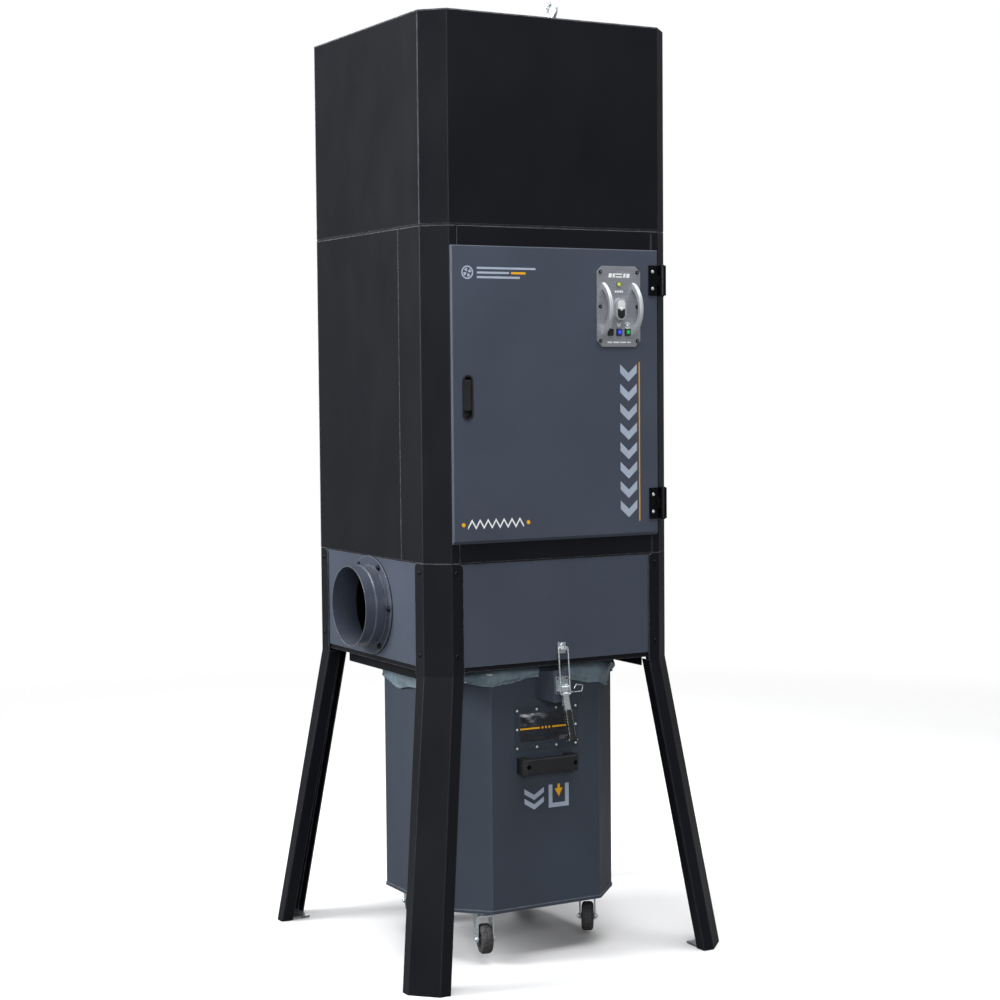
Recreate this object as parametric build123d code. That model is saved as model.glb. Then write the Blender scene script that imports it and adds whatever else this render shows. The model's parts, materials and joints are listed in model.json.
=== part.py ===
from build123d import *
import math
import os

# Dust collector on four splayed legs, millimetres, +Z up.
# Origin: on the floor at the centre of the machine. Front (door, bin) is -Y, inlet is -X.

# ---- Driving dimensions -------------------------------------------------------------
BODY_HALF = 349.0          # half the width and depth of the square cabinet
CORNER = 52.0              # leg length of the cabinet's chamfered corners
SHEET = 2.0                # cabinet sheet metal
LEG_SHEET = 3.0
BEND = 4.0                 # outside radius of a folded edge
Z_KNEE = 740.0             # where the legs start to splay
Z_SECTION = 760.0          # underside of the inlet section
Z_CABINET = 1013.0         # underside of the filter cabinet
Z_DECK = 1823.0            # top of the cabinet, underside of the hood
Z_HOOD_TOP = 2328.0
HOOD_GAP = 1.5             # shadow line between cabinet and hood

FOOT_HALF = 450.0          # half the footprint over the feet
FOOT_CORNER = 57.0
FOOT_FLANK = 30.0
ANCHOR = 400.0             # anchor holes stand at +-ANCHOR in x and y
ANCHOR_RADIUS = 6.5
FLANK_FRONT = 31.0         # how far a leg laps past the corner on the front and back
FLANK_SIDE = 43.0          # and on the two sides
RETURN = 33.0              # inward lip down each edge of a leg
SCREW_X = 285.0            # leg screws in the front and back faces
SCREW_Y = 278.0            # leg screws in the side faces
SCREW_Z = (789.0, 989.0)

PANEL_HALF = 346.0         # section panels lie inside the leg flanges
PANEL_REACH = 294.0
INLET_RADIUS = 101.6       # 203 mm duct
INLET_Z = 886.0
INLET_REACH = 62.0
INLET_FLANGE = 125.0
INLET_BOLT_CIRCLE = 114.0

DOOR_X = (-296.0, 288.0)
DOOR_Z = (1059.0, 1773.0)
DOOR_FACE = -360.0
DOOR_BACK = -350.5
DOOR_SHEET = 1.5
JAMB_X = 276.0             # inner edge of the front posts
RAIL_HEIGHT = 68.0
HINGE_AXIS = (298.0, -368.0)
HINGE_Z = ((1100.0, 1178.0), (1660.0, 1735.0))
HINGE_PIN = 4.0
RUNNING = 0.05             # radial clearance of every running fit

PULL_X = -255.5
PULL_Z = (1356.0, 1465.0)
PULL_WIDTH = 29.0
PULL_PIVOT = (-356.5, 1450.0)

PLATE_CENTRE = (170.5, 1631.5)
PLATE_SIZE = (127.0, 199.0)
PLATE_FACE = -364.0
PILL_SIZE = (29.0, 55.0)
PILL_Z = 1625.0
KEY_X = (145.5, 170.5, 195.5)
KEY_Z = 1568.0
KEY_SIZE = (15.0, 17.0)

FILTER_Y = 30.0            # filter, blower and motor stand on this centre line
FILTER_RADIUS = 165.0
FILTER_BORE = 120.0
FILTER_Z = (1240.0, 1800.0)
BLOWER_RADIUS = 255.0
Z_BLOWER_FLOOR = 1850.0
Z_MOTOR_PLATE = 1960.0
SHAFT_RADIUS = 14.0

BIN_HALF = 250.0
BIN_CORNER = 93.0
BIN_Y = -33.0              # bin centre
BIN_Z = (128.0, 735.0)
BIN_SHEET = 2.0
BIN_FRONT = BIN_Y - BIN_HALF
WINDOW_X = (-76.0, 72.0)
WINDOW_Z = (550.0, 621.0)
HANDLE_X = (-85.0, 75.0)
HANDLE_Z = (474.0, 513.0)

LATCH_X = 8.0
LATCH_BASE_FACE = -349.0
LEVER_PIVOT = (-360.0, 690.0)
BAIL_PIVOT = (-366.0, 676.0)
BAIL_TOP = (-355.5, 790.5)
BAIL_HALF = 13.5
CLIP_PIVOT = (29.0, 678.0)
WIRE = 2.0

CASTER_X = 155.0
CASTER_Y = 189.0           # from the bin centre
CASTER_TRAIL = 28.0
WHEEL_RADIUS = 37.5
WHEEL_WIDTH = 30.0
WHEEL_Z = 60.5             # the latched bin hangs with its wheels 23 mm off the floor
CASTER_HEADINGS = {"front_left": -104.0, "front_right": 56.0, "back_left": 74.0, "back_right": 38.0}


# ---- Helpers ------------------------------------------------------------------------
def save(name, *shapes):
    """Write one node. Several shapes stay separate solids in it."""
    solids = [solid for shape in shapes for solid in shape.solids()]
    export_step(solids[0] if len(solids) == 1 else Compound(solids), f"parts/{name}.step")


def block(x, y, z):
    """A box from its low and high limit on each axis."""
    size = [high - low for low, high in (x, y, z)]
    centre = [(high + low) / 2 for low, high in (x, y, z)]
    return Pos(*centre) * Box(*size)


def rod(radius, start, end):
    """A round bar between two points."""
    axis = Vector(*end) - Vector(*start)
    return extrude(Plane(origin=start, z_dir=axis) * Circle(radius), amount=axis.length)


def octagon(half, corner, centre_y=0.0):
    """Square plan outline with cut corners."""
    near = half - corner
    points = [(half, -near), (half, near), (near, half), (-near, half)]
    points += [(-x, -y) for x, y in points]
    return Pos(0, centre_y) * make_face(Polyline(*points, close=True))


def prism(outline, low, high):
    """A plan outline raised from one height to another."""
    return extrude(Pos(0, 0, low) * outline, amount=high - low, dir=(0, 0, 1))


def bent_outline(points, thickness, radius=BEND):
    """Plan outline of bent sheet. The sheet lies left of the path, and every bend turns left."""
    path = [Vector(*point) for point in points]
    runs = [(end - start).normalized() for start, end in zip(path, path[1:])]
    normals = [Vector(-run.Y, run.X) for run in runs]
    inner = [path[0] + normals[0] * thickness]
    for point, before, after in zip(path[1:-1], normals, normals[1:]):
        inner.append(point + (before + after) * (thickness / (1 + before.dot(after))))
    inner.append(path[-1] + normals[-1] * thickness)
    outline = make_face(Polyline(*path, *reversed(inner), close=True))
    for bends, bend_radius in ((path[1:-1], radius), (inner[1:-1], radius - thickness)):
        chosen = [v for v in outline.vertices() if min((v.center() - b).length for b in bends) < 0.01]
        outline = fillet(chosen, bend_radius)
    return outline


def pill(width, height, centre, face, depth):
    """An upright pill-shaped plug: its front at y = face, reaching back by depth."""
    plane = Plane(origin=(centre[0], face, centre[1]), x_dir=(1, 0, 0), z_dir=(0, -1, 0))
    return extrude(plane * SlotOverall(height, width, rotation=90), amount=-depth)


def all_corners(shape):
    """The front-left piece and its three mirror images."""
    left = [shape, mirror(shape, Plane.XZ)]
    return left + [mirror(piece, Plane.YZ) for piece in left]


def leg_screw_lines():
    """Start and inward direction of every leg screw, on the outer faces of the legs."""
    lines = []
    for z in SCREW_Z:
        for x, sign in ((SCREW_X, -1), (-SCREW_X, -1), (SCREW_X, 1), (-SCREW_X, 1)):
            lines.append(((x, sign * BODY_HALF, z), (0, -sign, 0)))
        for y, sign in ((SCREW_Y, -1), (-SCREW_Y, -1), (SCREW_Y, 1), (-SCREW_Y, 1)):
            lines.append(((sign * BODY_HALF, y, z), (-sign, 0, 0)))
    return lines


def screw(start, direction, head_radius, head_height, shank_radius, length):
    """A button-head screw whose head stands on the face at start."""
    at, way = Vector(*start), Vector(*direction)
    head = rod(head_radius, at, at - way * head_height)
    head = fillet(head.edges().sort_by(lambda edge: (edge.center() - at).dot(way))[0], head_height * 0.7)
    return head + rod(shank_radius, at, at + way * length)


def drilled(shape, lines, radius, depth=15.0):
    """Cut a through hole on every screw line."""
    for start, direction in lines:
        at, way = Vector(*start), Vector(*direction)
        shape = shape - rod(radius, at - way * depth, at + way * depth)
    return shape


# ---- Legs and feet ------------------------------------------------------------------
def front_left_leg():
    flat, foot_flat = BODY_HALF - CORNER, FOOT_HALF - FOOT_CORNER
    side, front = -flat + FLANK_SIDE, -flat + FLANK_FRONT
    upper_path = [(-BODY_HALF, side), (-BODY_HALF, -flat), (-flat, -BODY_HALF), (front, -BODY_HALF)]
    upper = prism(bent_outline(upper_path, LEG_SHEET), Z_KNEE, Z_CABINET - 0.5)
    for axis in (Axis.X, Axis.Y):
        corner = upper.edges().filter_by(axis).filter_by(lambda e: e.length < LEG_SHEET + 0.1)
        upper = fillet(corner.sort_by(Axis.Z)[-1:], 14)
    knee_path = [(-BODY_HALF + RETURN, side), *upper_path, (front, -BODY_HALF + RETURN)]
    lip, reach = -FOOT_HALF + RETURN, -foot_flat + FOOT_FLANK
    foot_path = [(lip, reach), (-FOOT_HALF, reach), (-FOOT_HALF, -foot_flat)]
    foot_path += [(-foot_flat, -FOOT_HALF), (reach, -FOOT_HALF), (reach, lip)]
    knee = Pos(0, 0, Z_KNEE) * bent_outline(knee_path, LEG_SHEET)
    lower = loft([bent_outline(foot_path, LEG_SHEET), knee], ruled=True)
    return drilled(upper + lower, leg_screw_lines(), 3.3)


def front_left_foot_plate():
    edge, flat, inner = 446.0, 391.0, 366.5
    points = [(-edge, -inner), (-edge, -flat), (-flat, -edge), (-inner, -edge), (-inner, -inner)]
    plate = prism(make_face(Polyline(*points, close=True)), 0, 6)
    return plate - rod(ANCHOR_RADIUS, (-ANCHOR, -ANCHOR, -1), (-ANCHOR, -ANCHOR, 7))


def make_base():
    save("legs", *all_corners(front_left_leg()))
    save("foot_plates", *all_corners(front_left_foot_plate()))
    save("leg_screws", *[screw(start, way, 5.5, 3.2, 3.0, 12) for start, way in leg_screw_lines()])


# ---- Inlet section ------------------------------------------------------------------
def inlet_bolt_lines():
    lines = []
    for step in range(6):
        angle = math.radians(60 * step)
        y = -INLET_BOLT_CIRCLE * math.cos(angle)
        z = INLET_Z + INLET_BOLT_CIRCLE * math.sin(angle)
        lines.append(((-PANEL_HALF - 5, y, z), (1, 0, 0)))
    return lines


def inlet_ring(outer, inner, x_low, x_high):
    """A flat ring about the inlet's axis."""
    ring = rod(outer, (x_low, 0, INLET_Z), (x_high, 0, INLET_Z))
    return ring - rod(inner, (x_low - 1, 0, INLET_Z), (x_high + 1, 0, INLET_Z))


def inlet_spigot():
    wall, bead, mouth = 2.0, 3.0, -PANEL_HALF - INLET_REACH
    middle, flange = mouth + 31, -PANEL_HALF - 5
    outer = INLET_RADIUS
    tube = inlet_ring(outer, outer - wall, mouth, -PANEL_HALF + 6)
    ring_outline = Pos(middle, outer - 0.5) * Circle(bead)
    bead_ring = Pos(0, 0, INLET_Z) * revolve(ring_outline, Axis.X)
    bead_ring = bead_ring - rod(outer - wall, (mouth, 0, INLET_Z), (flange, 0, INLET_Z))
    body = tube + bead_ring + inlet_ring(INLET_FLANGE, outer - wall, flange, flange + 3)
    return drilled(body, inlet_bolt_lines(), 3.3)


def section_panels():
    side_lines = leg_screw_lines()
    front = block((-PANEL_REACH, PANEL_REACH), (-PANEL_HALF, -PANEL_HALF + SHEET), (Z_SECTION, Z_CABINET - 3.5))
    front = drilled(front, side_lines, 3.3)
    side = drilled(Rot(0, 0, -90) * front, side_lines, 3.3)
    inlet_side = drilled(side, inlet_bolt_lines(), 3.3)
    hole = rod(INLET_RADIUS + 0.3, (-400, 0, INLET_Z), (-300, 0, INLET_Z))
    return [front, mirror(front, Plane.XZ), inlet_side - hole, mirror(side, Plane.YZ)]


def section_frames():
    """The tray under the section and the flange ring that joins it to the cabinet."""
    inside = PANEL_HALF - SHEET - 0.3
    opening = octagon(BIN_HALF - 20, BIN_CORNER - 8, BIN_Y)
    tray = prism(octagon(inside, 50), Z_SECTION - 12, Z_SECTION + 2)
    tray -= prism(octagon(inside - SHEET, 49), Z_SECTION - 10, Z_SECTION + 3)
    tray -= prism(opening, Z_SECTION - 20, Z_SECTION)
    ring = prism(octagon(inside, 50), Z_CABINET - 3, Z_CABINET) - prism(octagon(305, 60), 1000, 1020)
    return [tray, ring]


def bin_guides():
    """Two folded guide strips hung under the tray, one each side of the bin."""
    top = Z_SECTION - 12
    web = block((-301, -299), (-262, 230), (713, top))
    guide = web + block((-321, -299), (-262, 230), (top - SHEET, top))
    return [guide, mirror(guide, Plane.YZ)]


def inlet_baffle():
    """Deflector box behind the inlet, open below, that turns the dusty air down."""
    top, bottom, far = Z_CABINET - 3, 800, -215
    sheet = block((far - SHEET, far), (-150, 150), (bottom, top))
    for side in (-150, 148):
        sheet += block((-PANEL_HALF + 15, far), (side, side + SHEET), (bottom, top))
    return sheet


def make_section():
    save("section_panels", *section_panels())
    save("section_frames", *section_frames(), *bin_guides(), inlet_baffle())
    save("inlet_spigot", inlet_spigot())
    gasket = inlet_ring(INLET_FLANGE, INLET_RADIUS + 0.3, -PANEL_HALF - 2, -PANEL_HALF)
    seal = prism(octagon(BIN_HALF - 2, BIN_CORNER - 1, BIN_Y), Z_SECTION - 18, Z_SECTION - 12)
    seal -= prism(octagon(BIN_HALF - 20, BIN_CORNER - 8, BIN_Y), 700, Z_SECTION)
    save("frame_seals", drilled(gasket, inlet_bolt_lines(), 3.3), seal)
    save("inlet_bolts", *[screw(start, way, 6.0, 4.0, 3.0, 14) for start, way in inlet_bolt_lines()])


# ---- Filter cabinet -----------------------------------------------------------------
SEAM_Y = -182.0            # joint between a front post and its side panel


def front_left_post():
    flat = BODY_HALF - CORNER
    path = [(-BODY_HALF, SEAM_Y - 0.5), (-BODY_HALF, -flat), (-flat, -BODY_HALF)]
    path += [(-JAMB_X, -BODY_HALF), (-JAMB_X, -BODY_HALF + 19)]
    return prism(bent_outline(path, SHEET), Z_CABINET, Z_DECK - 3)


def door_rail(low, high):
    """A channel across the front, its lips turned inward."""
    face = block((-JAMB_X + 0.3, JAMB_X - 0.3), (-BODY_HALF, -BODY_HALF + SHEET), (low, high))
    for z in (low, high - SHEET):
        face += block((-JAMB_X + 2.3, JAMB_X - 2.3), (-BODY_HALF, -BODY_HALF + 22), (z, z + SHEET))
    return face


def back_path():
    flat = BODY_HALF - CORNER
    return [(BODY_HALF, flat), (flat, BODY_HALF), (-flat, BODY_HALF), (-BODY_HALF, flat)]


def make_cabinet():
    flat = BODY_HALF - CORNER
    side = block((-BODY_HALF, -BODY_HALF + SHEET), (SEAM_Y + 0.5, flat - SHEET), (Z_CABINET, Z_DECK - 3))
    save("cabinet_side_panels", side, mirror(side, Plane.YZ))
    save("cabinet_back_panel", prism(bent_outline(back_path(), SHEET), Z_CABINET, Z_DECK - 3))
    post = front_left_post()
    save("front_posts", post, mirror(post, Plane.YZ))
    top_rail = door_rail(Z_DECK - 3 - RAIL_HEIGHT, Z_DECK - 3)
    save("door_rails", top_rail, door_rail(Z_CABINET, Z_CABINET + RAIL_HEIGHT))
    deck = prism(octagon(BODY_HALF, CORNER), Z_DECK - 3, Z_DECK)
    save("filter_deck", deck - rod(118, (0, FILTER_Y, 1800), (0, FILTER_Y, 1850)))


def filter_ring(outer, inner, low, high):
    """A ring about the upright filter axis. An inner radius of 0 gives a disc."""
    ring = rod(outer, (0, FILTER_Y, low), (0, FILTER_Y, high))
    return ring - rod(inner, (0, FILTER_Y, low - 1), (0, FILTER_Y, high + 1)) if inner else ring


def make_filter():
    low, high = FILTER_Z
    save("filter_cartridge", filter_ring(FILTER_RADIUS, FILTER_BORE + 5, low, high))
    top_cap = filter_ring(FILTER_RADIUS + 5, FILTER_BORE, high, Z_DECK - 3)
    bottom_cap = filter_ring(FILTER_RADIUS + 5, 6, low - 15, low)
    tie = filter_ring(5, 0, low - 40, Z_DECK + 14) + filter_ring(11, 0, low - 25, low - 15)
    tie += block((-130, 130), (FILTER_Y - 10, FILTER_Y + 10), (Z_DECK, Z_DECK + 6))
    save("filter_caps", top_cap, bottom_cap, tie)


# ---- Blower and motor ---------------------------------------------------------------
def inlet_cone():
    points = [(170, Z_DECK), (158, Z_DECK), (156, Z_DECK + 2), (118, 1872), (120, 1872), (158, Z_DECK + 3)]
    points += [(170, Z_DECK + 3)]
    outline = make_face(Polyline(*[(radius, 0, z) for radius, z in points], close=True))
    return Pos(0, FILTER_Y) * revolve(outline, Axis.Z)


def blower_housing():
    wall = filter_ring(BLOWER_RADIUS, BLOWER_RADIUS - SHEET, Z_DECK, Z_MOTOR_PLATE)
    drum = wall + filter_ring(BLOWER_RADIUS, 150, Z_BLOWER_FLOOR, Z_BLOWER_FLOOR + SHEET)
    return drum - block((60, 240), (180, 320), (Z_BLOWER_FLOOR + 10, Z_MOTOR_PLATE - 8))


def impeller():
    low, high = 1888.0, 1944.0
    wheel = filter_ring(200, 118, low - 3, low) + filter_ring(200, 0, high, high + 4)
    wheel += filter_ring(32, 0, high - 30, high + 4)
    for step in range(10):
        vane = Pos(157, 0, (low + high) / 2) * Rot(0, 0, 35) * Box(80, 2.5, high - low + 2)
        wheel += Pos(0, FILTER_Y) * Rot(0, 0, 36 * step) * vane
    return wheel - rod(SHAFT_RADIUS, (0, FILTER_Y, 1800), (0, FILTER_Y, 2000))


def motor():
    body = filter_ring(125, 0, 1965, 1977) + filter_ring(96, 0, 1965, 2230)
    for step in range(24):
        rib = Pos(96, 0, 2104) * Box(16, 3, 236)
        body += Pos(0, FILTER_Y) * Rot(0, 0, 15 * step + 7.5) * rib
    body += block((60, 150), (FILTER_Y - 45, FILTER_Y + 45), (2060, 2160))
    return body - rod(SHAFT_RADIUS + RUNNING, (0, FILTER_Y, 1960), (0, FILTER_Y, 2215))


def make_blower():
    save("blower_housing", blower_housing(), inlet_cone())
    plate = block((-270, 270), (FILTER_Y - 270, FILTER_Y + 270), (Z_MOTOR_PLATE, Z_MOTOR_PLATE + 5))
    save("motor_mount", plate - filter_ring(36, 0, 1950, 1970))
    cover = filter_ring(103, 0, 2231, 2285)
    cover = fillet(cover.edges().group_by(Axis.Z)[-1], 14) - filter_ring(100, 0, 2230, 2268)
    save("motor_housing", motor(), cover)
    shaft = filter_ring(SHAFT_RADIUS, 0, 1905, 2214.5)
    save("rotor", impeller(), shaft)


# ---- Hood ---------------------------------------------------------------------------
def make_hood():
    flat = BODY_HALF - CORNER
    low, high = Z_DECK + HOOD_GAP, Z_HOOD_TOP - SHEET
    front_path = [(-BODY_HALF, -flat), (-flat, -BODY_HALF), (flat, -BODY_HALF), (BODY_HALF, -flat)]
    save("hood_front_cover", prism(bent_outline(front_path, SHEET), low, high))
    side = block((-BODY_HALF, -BODY_HALF + SHEET), (-flat + SHEET, flat - SHEET), (low, high))
    save("hood_side_panels", side, mirror(side, Plane.YZ))
    vent_x, vent_z = 180, (1900, 2180)
    back = prism(bent_outline(back_path(), SHEET), low, high)
    back -= block((-vent_x, vent_x), (300, 400), vent_z)
    back -= rod(8.2, (250, 300, 1880), (250, 400, 1880))
    grille = block((-vent_x - 12, vent_x + 12), (BODY_HALF, BODY_HALF + 3), (vent_z[0] - 12, vent_z[1] + 12))
    grille -= block((-vent_x + 4, vent_x - 4), (300, 400), (vent_z[0] + 4, vent_z[1] - 4))
    for step in range(14):
        slat = Rot(35, 0, 0) * Box(2 * vent_x - 4, 16, 2)
        grille += Pos(0, BODY_HALF - 3, vent_z[0] + 10 + 20 * step) * slat
    grille -= block((-400, 400), (BODY_HALF + 4, 400), (1800, 2300))
    save("hood_back_cover", back, grille)
    eye_holes = [rod(5.2, (LATCH_X, y, 2200), (LATCH_X, y, 2400)) for y in (-318, 318)]
    top = prism(octagon(BODY_HALF, CORNER), Z_HOOD_TOP - SHEET, Z_HOOD_TOP)
    hem = octagon(BODY_HALF - SHEET - 0.3, CORNER - 1), octagon(BODY_HALF - 2 * SHEET - 0.3, CORNER - 2)
    top += prism(hem[0], Z_HOOD_TOP - 22, high) - prism(hem[1], Z_HOOD_TOP - 23, high)
    save("hood_top", top - eye_holes[0] - eye_holes[1])
    gland = rod(8, (250, 335, 1880), (250, 375, 1880))
    for y in (340, BODY_HALF):
        hexagon = Plane(origin=(250, y, 1880), z_dir=(0, 1, 0)) * RegularPolygon(12, 6)
        gland += extrude(hexagon, amount=7)
    gland -= rod(5, (250, 330, 1880), (250, 380, 1880))
    save("cable_gland", gland)
    save("eye_bolts", *[eye_bolt(y) for y in (-318, 318)])


def eye_bolt(y):
    ring = Pos(LATCH_X, y, 2350) * Rot(0, 0, 8) * Rot(0, 90, 0) * Torus(17.5, 5)
    collar = rod(13, (LATCH_X, y, Z_HOOD_TOP), (LATCH_X, y, Z_HOOD_TOP + 6))
    return ring + collar + rod(5, (LATCH_X, y, Z_HOOD_TOP - 24), (LATCH_X, y, Z_HOOD_TOP + 2))


# ---- Door ---------------------------------------------------------------------------
def door_tray(x, y, z, bevel, radius):
    """A block with a bevelled lower front edge and its other front edges rounded."""
    tray = block(x, y, z)
    bottom = tray.edges().filter_by(Axis.X).group_by(Axis.Z)[0].sort_by(Axis.Y)[0]
    tray = chamfer(bottom, bevel)
    front = tray.faces().sort_by(Axis.Y)[0]
    return fillet(front.edges().sort_by(Axis.Z)[1:], radius) if radius else tray


def door_panel():
    inner_x = (DOOR_X[0] + DOOR_SHEET, DOOR_X[1] - DOOR_SHEET)
    inner_z = (DOOR_Z[0] + DOOR_SHEET, DOOR_Z[1] - DOOR_SHEET)
    panel = door_tray(DOOR_X, (DOOR_FACE, DOOR_BACK), DOOR_Z, 8, 2.5)
    panel -= door_tray(inner_x, (DOOR_FACE + DOOR_SHEET, DOOR_BACK + 1), inner_z, 7.4, 1)
    middle = (PULL_X, sum(PULL_Z) / 2)
    panel -= pill(PULL_WIDTH - 4.4, PULL_Z[1] - PULL_Z[0] - 4.4, middle, DOOR_FACE - 5, 15)
    return panel - block((130, 211), (DOOR_FACE - 5, DOOR_FACE + 5), (1556, 1700))


def ring_in_door(outer_x, outer_z, width, y):
    """A rectangular ring that faces the front."""
    ring = block(outer_x, y, outer_z)
    inner_x = (outer_x[0] + width, outer_x[1] - width)
    return ring - block(inner_x, (y[0] - 1, y[1] + 1), (outer_z[0] + width, outer_z[1] - width))


def knuckle_bands(low, high):
    """A hinge barrel's three bands, bottom to top, with running gaps between them."""
    third = (high - low) / 3
    return [(low + third * step + 0.2, low + third * (step + 1) - 0.2) for step in range(3)]


def door_leaf(low, high):
    x, y = HINGE_AXIS
    band = knuckle_bands(low, high)[1]
    leaf = block((261, 286), (DOOR_FACE - 4, DOOR_FACE), (low, high))
    leaf += block((280, x - 3), (DOOR_FACE - 7.5, DOOR_FACE - 1), band)
    leaf += rod(9, (x, y, band[0]), (x, y, band[1]))
    return leaf - rod(HINGE_PIN + RUNNING, (x, y, low - 1), (x, y, high + 1))


def frame_leaf(low, high):
    x, y = HINGE_AXIS
    flat = BODY_HALF - CORNER
    reach, skin = 24.0, 2.83
    points = [(flat + 1, -BODY_HALF + 1), (flat + reach, -BODY_HALF + reach)]
    points += [(flat + reach + skin, -BODY_HALF + reach - skin), (x + 8.5, y + 2), (x, y), (x - 3, y + 8)]
    web = make_face(Polyline(*points, close=True))
    leaf = rod(HINGE_PIN, (x, y, low + 0.2), (x, y, high - 0.2))
    for band in knuckle_bands(low, high)[::2]:
        leaf += rod(9, (x, y, band[0]), (x, y, band[1])) + prism(web, *band)
    root = [(flat + 8 + skin, -BODY_HALF + 8 - skin), (flat + 8, -BODY_HALF + 8)]
    strip = make_face(Polyline(*root, points[1], points[2], close=True))
    return leaf + prism(strip, low + 0.2, high - 0.2)


def pull_cup():
    middle, height = (PULL_X, sum(PULL_Z) / 2), PULL_Z[1] - PULL_Z[0]
    cup = pill(PULL_WIDTH, height, middle, DOOR_FACE - 2, 2)
    cup += pill(PULL_WIDTH - 5, height - 5, middle, DOOR_FACE - 1, 22)
    cup -= pill(PULL_WIDTH - 8, height - 8, middle, DOOR_FACE - 5, 24)
    y, z = PULL_PIVOT
    cup += rod(1.5, (PULL_X - 11, y, z), (PULL_X + 11, y, z))
    case = block((-266, -237), (-339, -328), (1393, 1427))
    return cup + case - block((-280, -230), (-338.4, -330.6), (1397.6, 1422.4))


def pull_lever():
    y, z = PULL_PIVOT
    x = (PULL_X - 9.8, PULL_X + 9.8)
    lever = block(x, (y - 3.5, y - 0.5), (1379, z)) + rod(3.5, (x[0], y, z), (x[1], y, z))
    lever = fillet(lever.edges().filter_by(Axis.Y).group_by(Axis.Z)[0], 5)
    return lever - rod(1.5 + RUNNING, (x[0] - 1, y, z), (x[1] + 1, y, z))


def control_plate():
    x, z = PLATE_CENTRE
    half_x, half_z, cut = PLATE_SIZE[0] / 2, PLATE_SIZE[1] / 2, 15.0
    plate = block((x - half_x, x + half_x), (PLATE_FACE, DOOR_FACE), (z - half_z, z + half_z))
    plate = chamfer(plate.edges().filter_by(Axis.Y), cut)
    plate -= pill(PILL_SIZE[0] - 3, PILL_SIZE[1] - 3, (x, PILL_Z), PLATE_FACE - 2, 10)
    for key_x in KEY_X:
        plate -= key(key_x, 0.4, PLATE_FACE - 2, DOOR_FACE + 2)
    plate -= rod(4, (x, PLATE_FACE - 2, 1686), (x, DOOR_FACE + 2, 1686))
    return drilled(plate, plate_screw_lines(), 2.2)


def plate_screw_lines():
    x, z = PLATE_CENTRE
    return [((x + side, PLATE_FACE, z + rise), (0, 1, 0)) for side in (-54, 54) for rise in (-85, 0, 85)]


def key(x, room, y_low, y_high):
    """A square key, or with some room added the hole for it."""
    half_x, half_z = KEY_SIZE[0] / 2 + room, KEY_SIZE[1] / 2 + room
    return block((x - half_x, x + half_x), (y_low, y_high), (KEY_Z - half_z, KEY_Z + half_z))


def bow_guard(x):
    """A flat-sided bow handle standing out from the control plate."""
    z = PLATE_CENTRE[1] - 6
    outer = ThreePointArc((x, PLATE_FACE, z - 65), (x, PLATE_FACE - 38, z), (x, PLATE_FACE, z + 65))
    inner = ThreePointArc((x, PLATE_FACE, z + 47), (x, PLATE_FACE - 27, z), (x, PLATE_FACE, z - 47))
    feet = [Line(outer @ 1, inner @ 0), Line(inner @ 1, outer @ 0)]
    bow = extrude(make_face([outer, feet[0], inner, feet[1]]), amount=5.5, dir=(1, 0, 0), both=True)
    return fillet(bow.edges().filter_by(GeomType.CIRCLE), 2.5)


def button_halves():
    """Upper and lower half of the pill button, each with its stem inside the door."""
    x = PLATE_CENTRE[0]
    cap = pill(PILL_SIZE[0] - 8.8, PILL_SIZE[1] - 8.8, (x, PILL_Z), PLATE_FACE - 13, 12)
    halves = []
    for low, high in ((PILL_Z + 0.3, PILL_Z + 40), (PILL_Z - 40, PILL_Z - 0.3)):
        half = cap & block((x - 30, x + 30), (-400, -340), (low, high))
        z = (PILL_Z + 13) if high > PILL_Z + 1 else (PILL_Z - 13)
        halves.append(half + rod(4, (x, PLATE_FACE - 2, z), (x, PLATE_FACE + 14, z)))
    return halves


def control_box():
    """Switch box on the back of the door, open towards the plate."""
    outer = block((115, 226), (DOOR_FACE + DOOR_SHEET, -300), (1540, 1722))
    return outer - block((117, 224), (DOOR_FACE, -302), (1542, 1720))


def make_door():
    save("door_panel", door_panel())
    gasket_y = (DOOR_FACE + DOOR_SHEET, -BODY_HALF - 0.4)
    save("door_gasket", ring_in_door((-293, 285), (1068, 1768), 8, gasket_y))
    save("door_hinge_leaves", *[door_leaf(*z) for z in HINGE_Z])
    save("frame_hinge_leaves", *[frame_leaf(*z) for z in HINGE_Z])
    save("pull_cup", pull_cup())
    save("pull_lever", pull_lever())
    save("latch_bolt", block((-274.5, -240), (-338, -331), (1398, 1422)))
    plate_screws = [screw(start, way, 4.5, 2.6, 2.0, 3.5) for start, way in plate_screw_lines()]
    save("control_plate", control_plate(), *plate_screws)
    save("bow_guards", *[bow_guard(PLATE_CENTRE[0] + side) for side in (-44, 44)])
    x = PLATE_CENTRE[0]
    bezel = pill(*PILL_SIZE, (x, PILL_Z), PLATE_FACE - 12, 12)
    bezel += pill(PILL_SIZE[0] - 3.4, PILL_SIZE[1] - 3.4, (x, PILL_Z), PLATE_FACE - 1, 4)
    bezel -= pill(PILL_SIZE[0] - 8, PILL_SIZE[1] - 8, (x, PILL_Z), PLATE_FACE - 13, 20)
    lamp = rod(5.5, (x, PLATE_FACE - 2, 1686), (x, PLATE_FACE, 1686))
    lamp += rod(3.9, (x, PLATE_FACE - 1, 1686), (x, DOOR_FACE + 2, 1686))
    save("button_bezel", bezel, lamp)
    start, stop = button_halves()
    save("start_button", start)
    save("stop_button", stop)
    for name, key_x in zip(("mode_key", "clean_key", "power_key"), KEY_X):
        save(name, key(key_x, 0, PLATE_FACE - 4.5, PLATE_FACE + 8))
    save("control_box", control_box())


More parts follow.
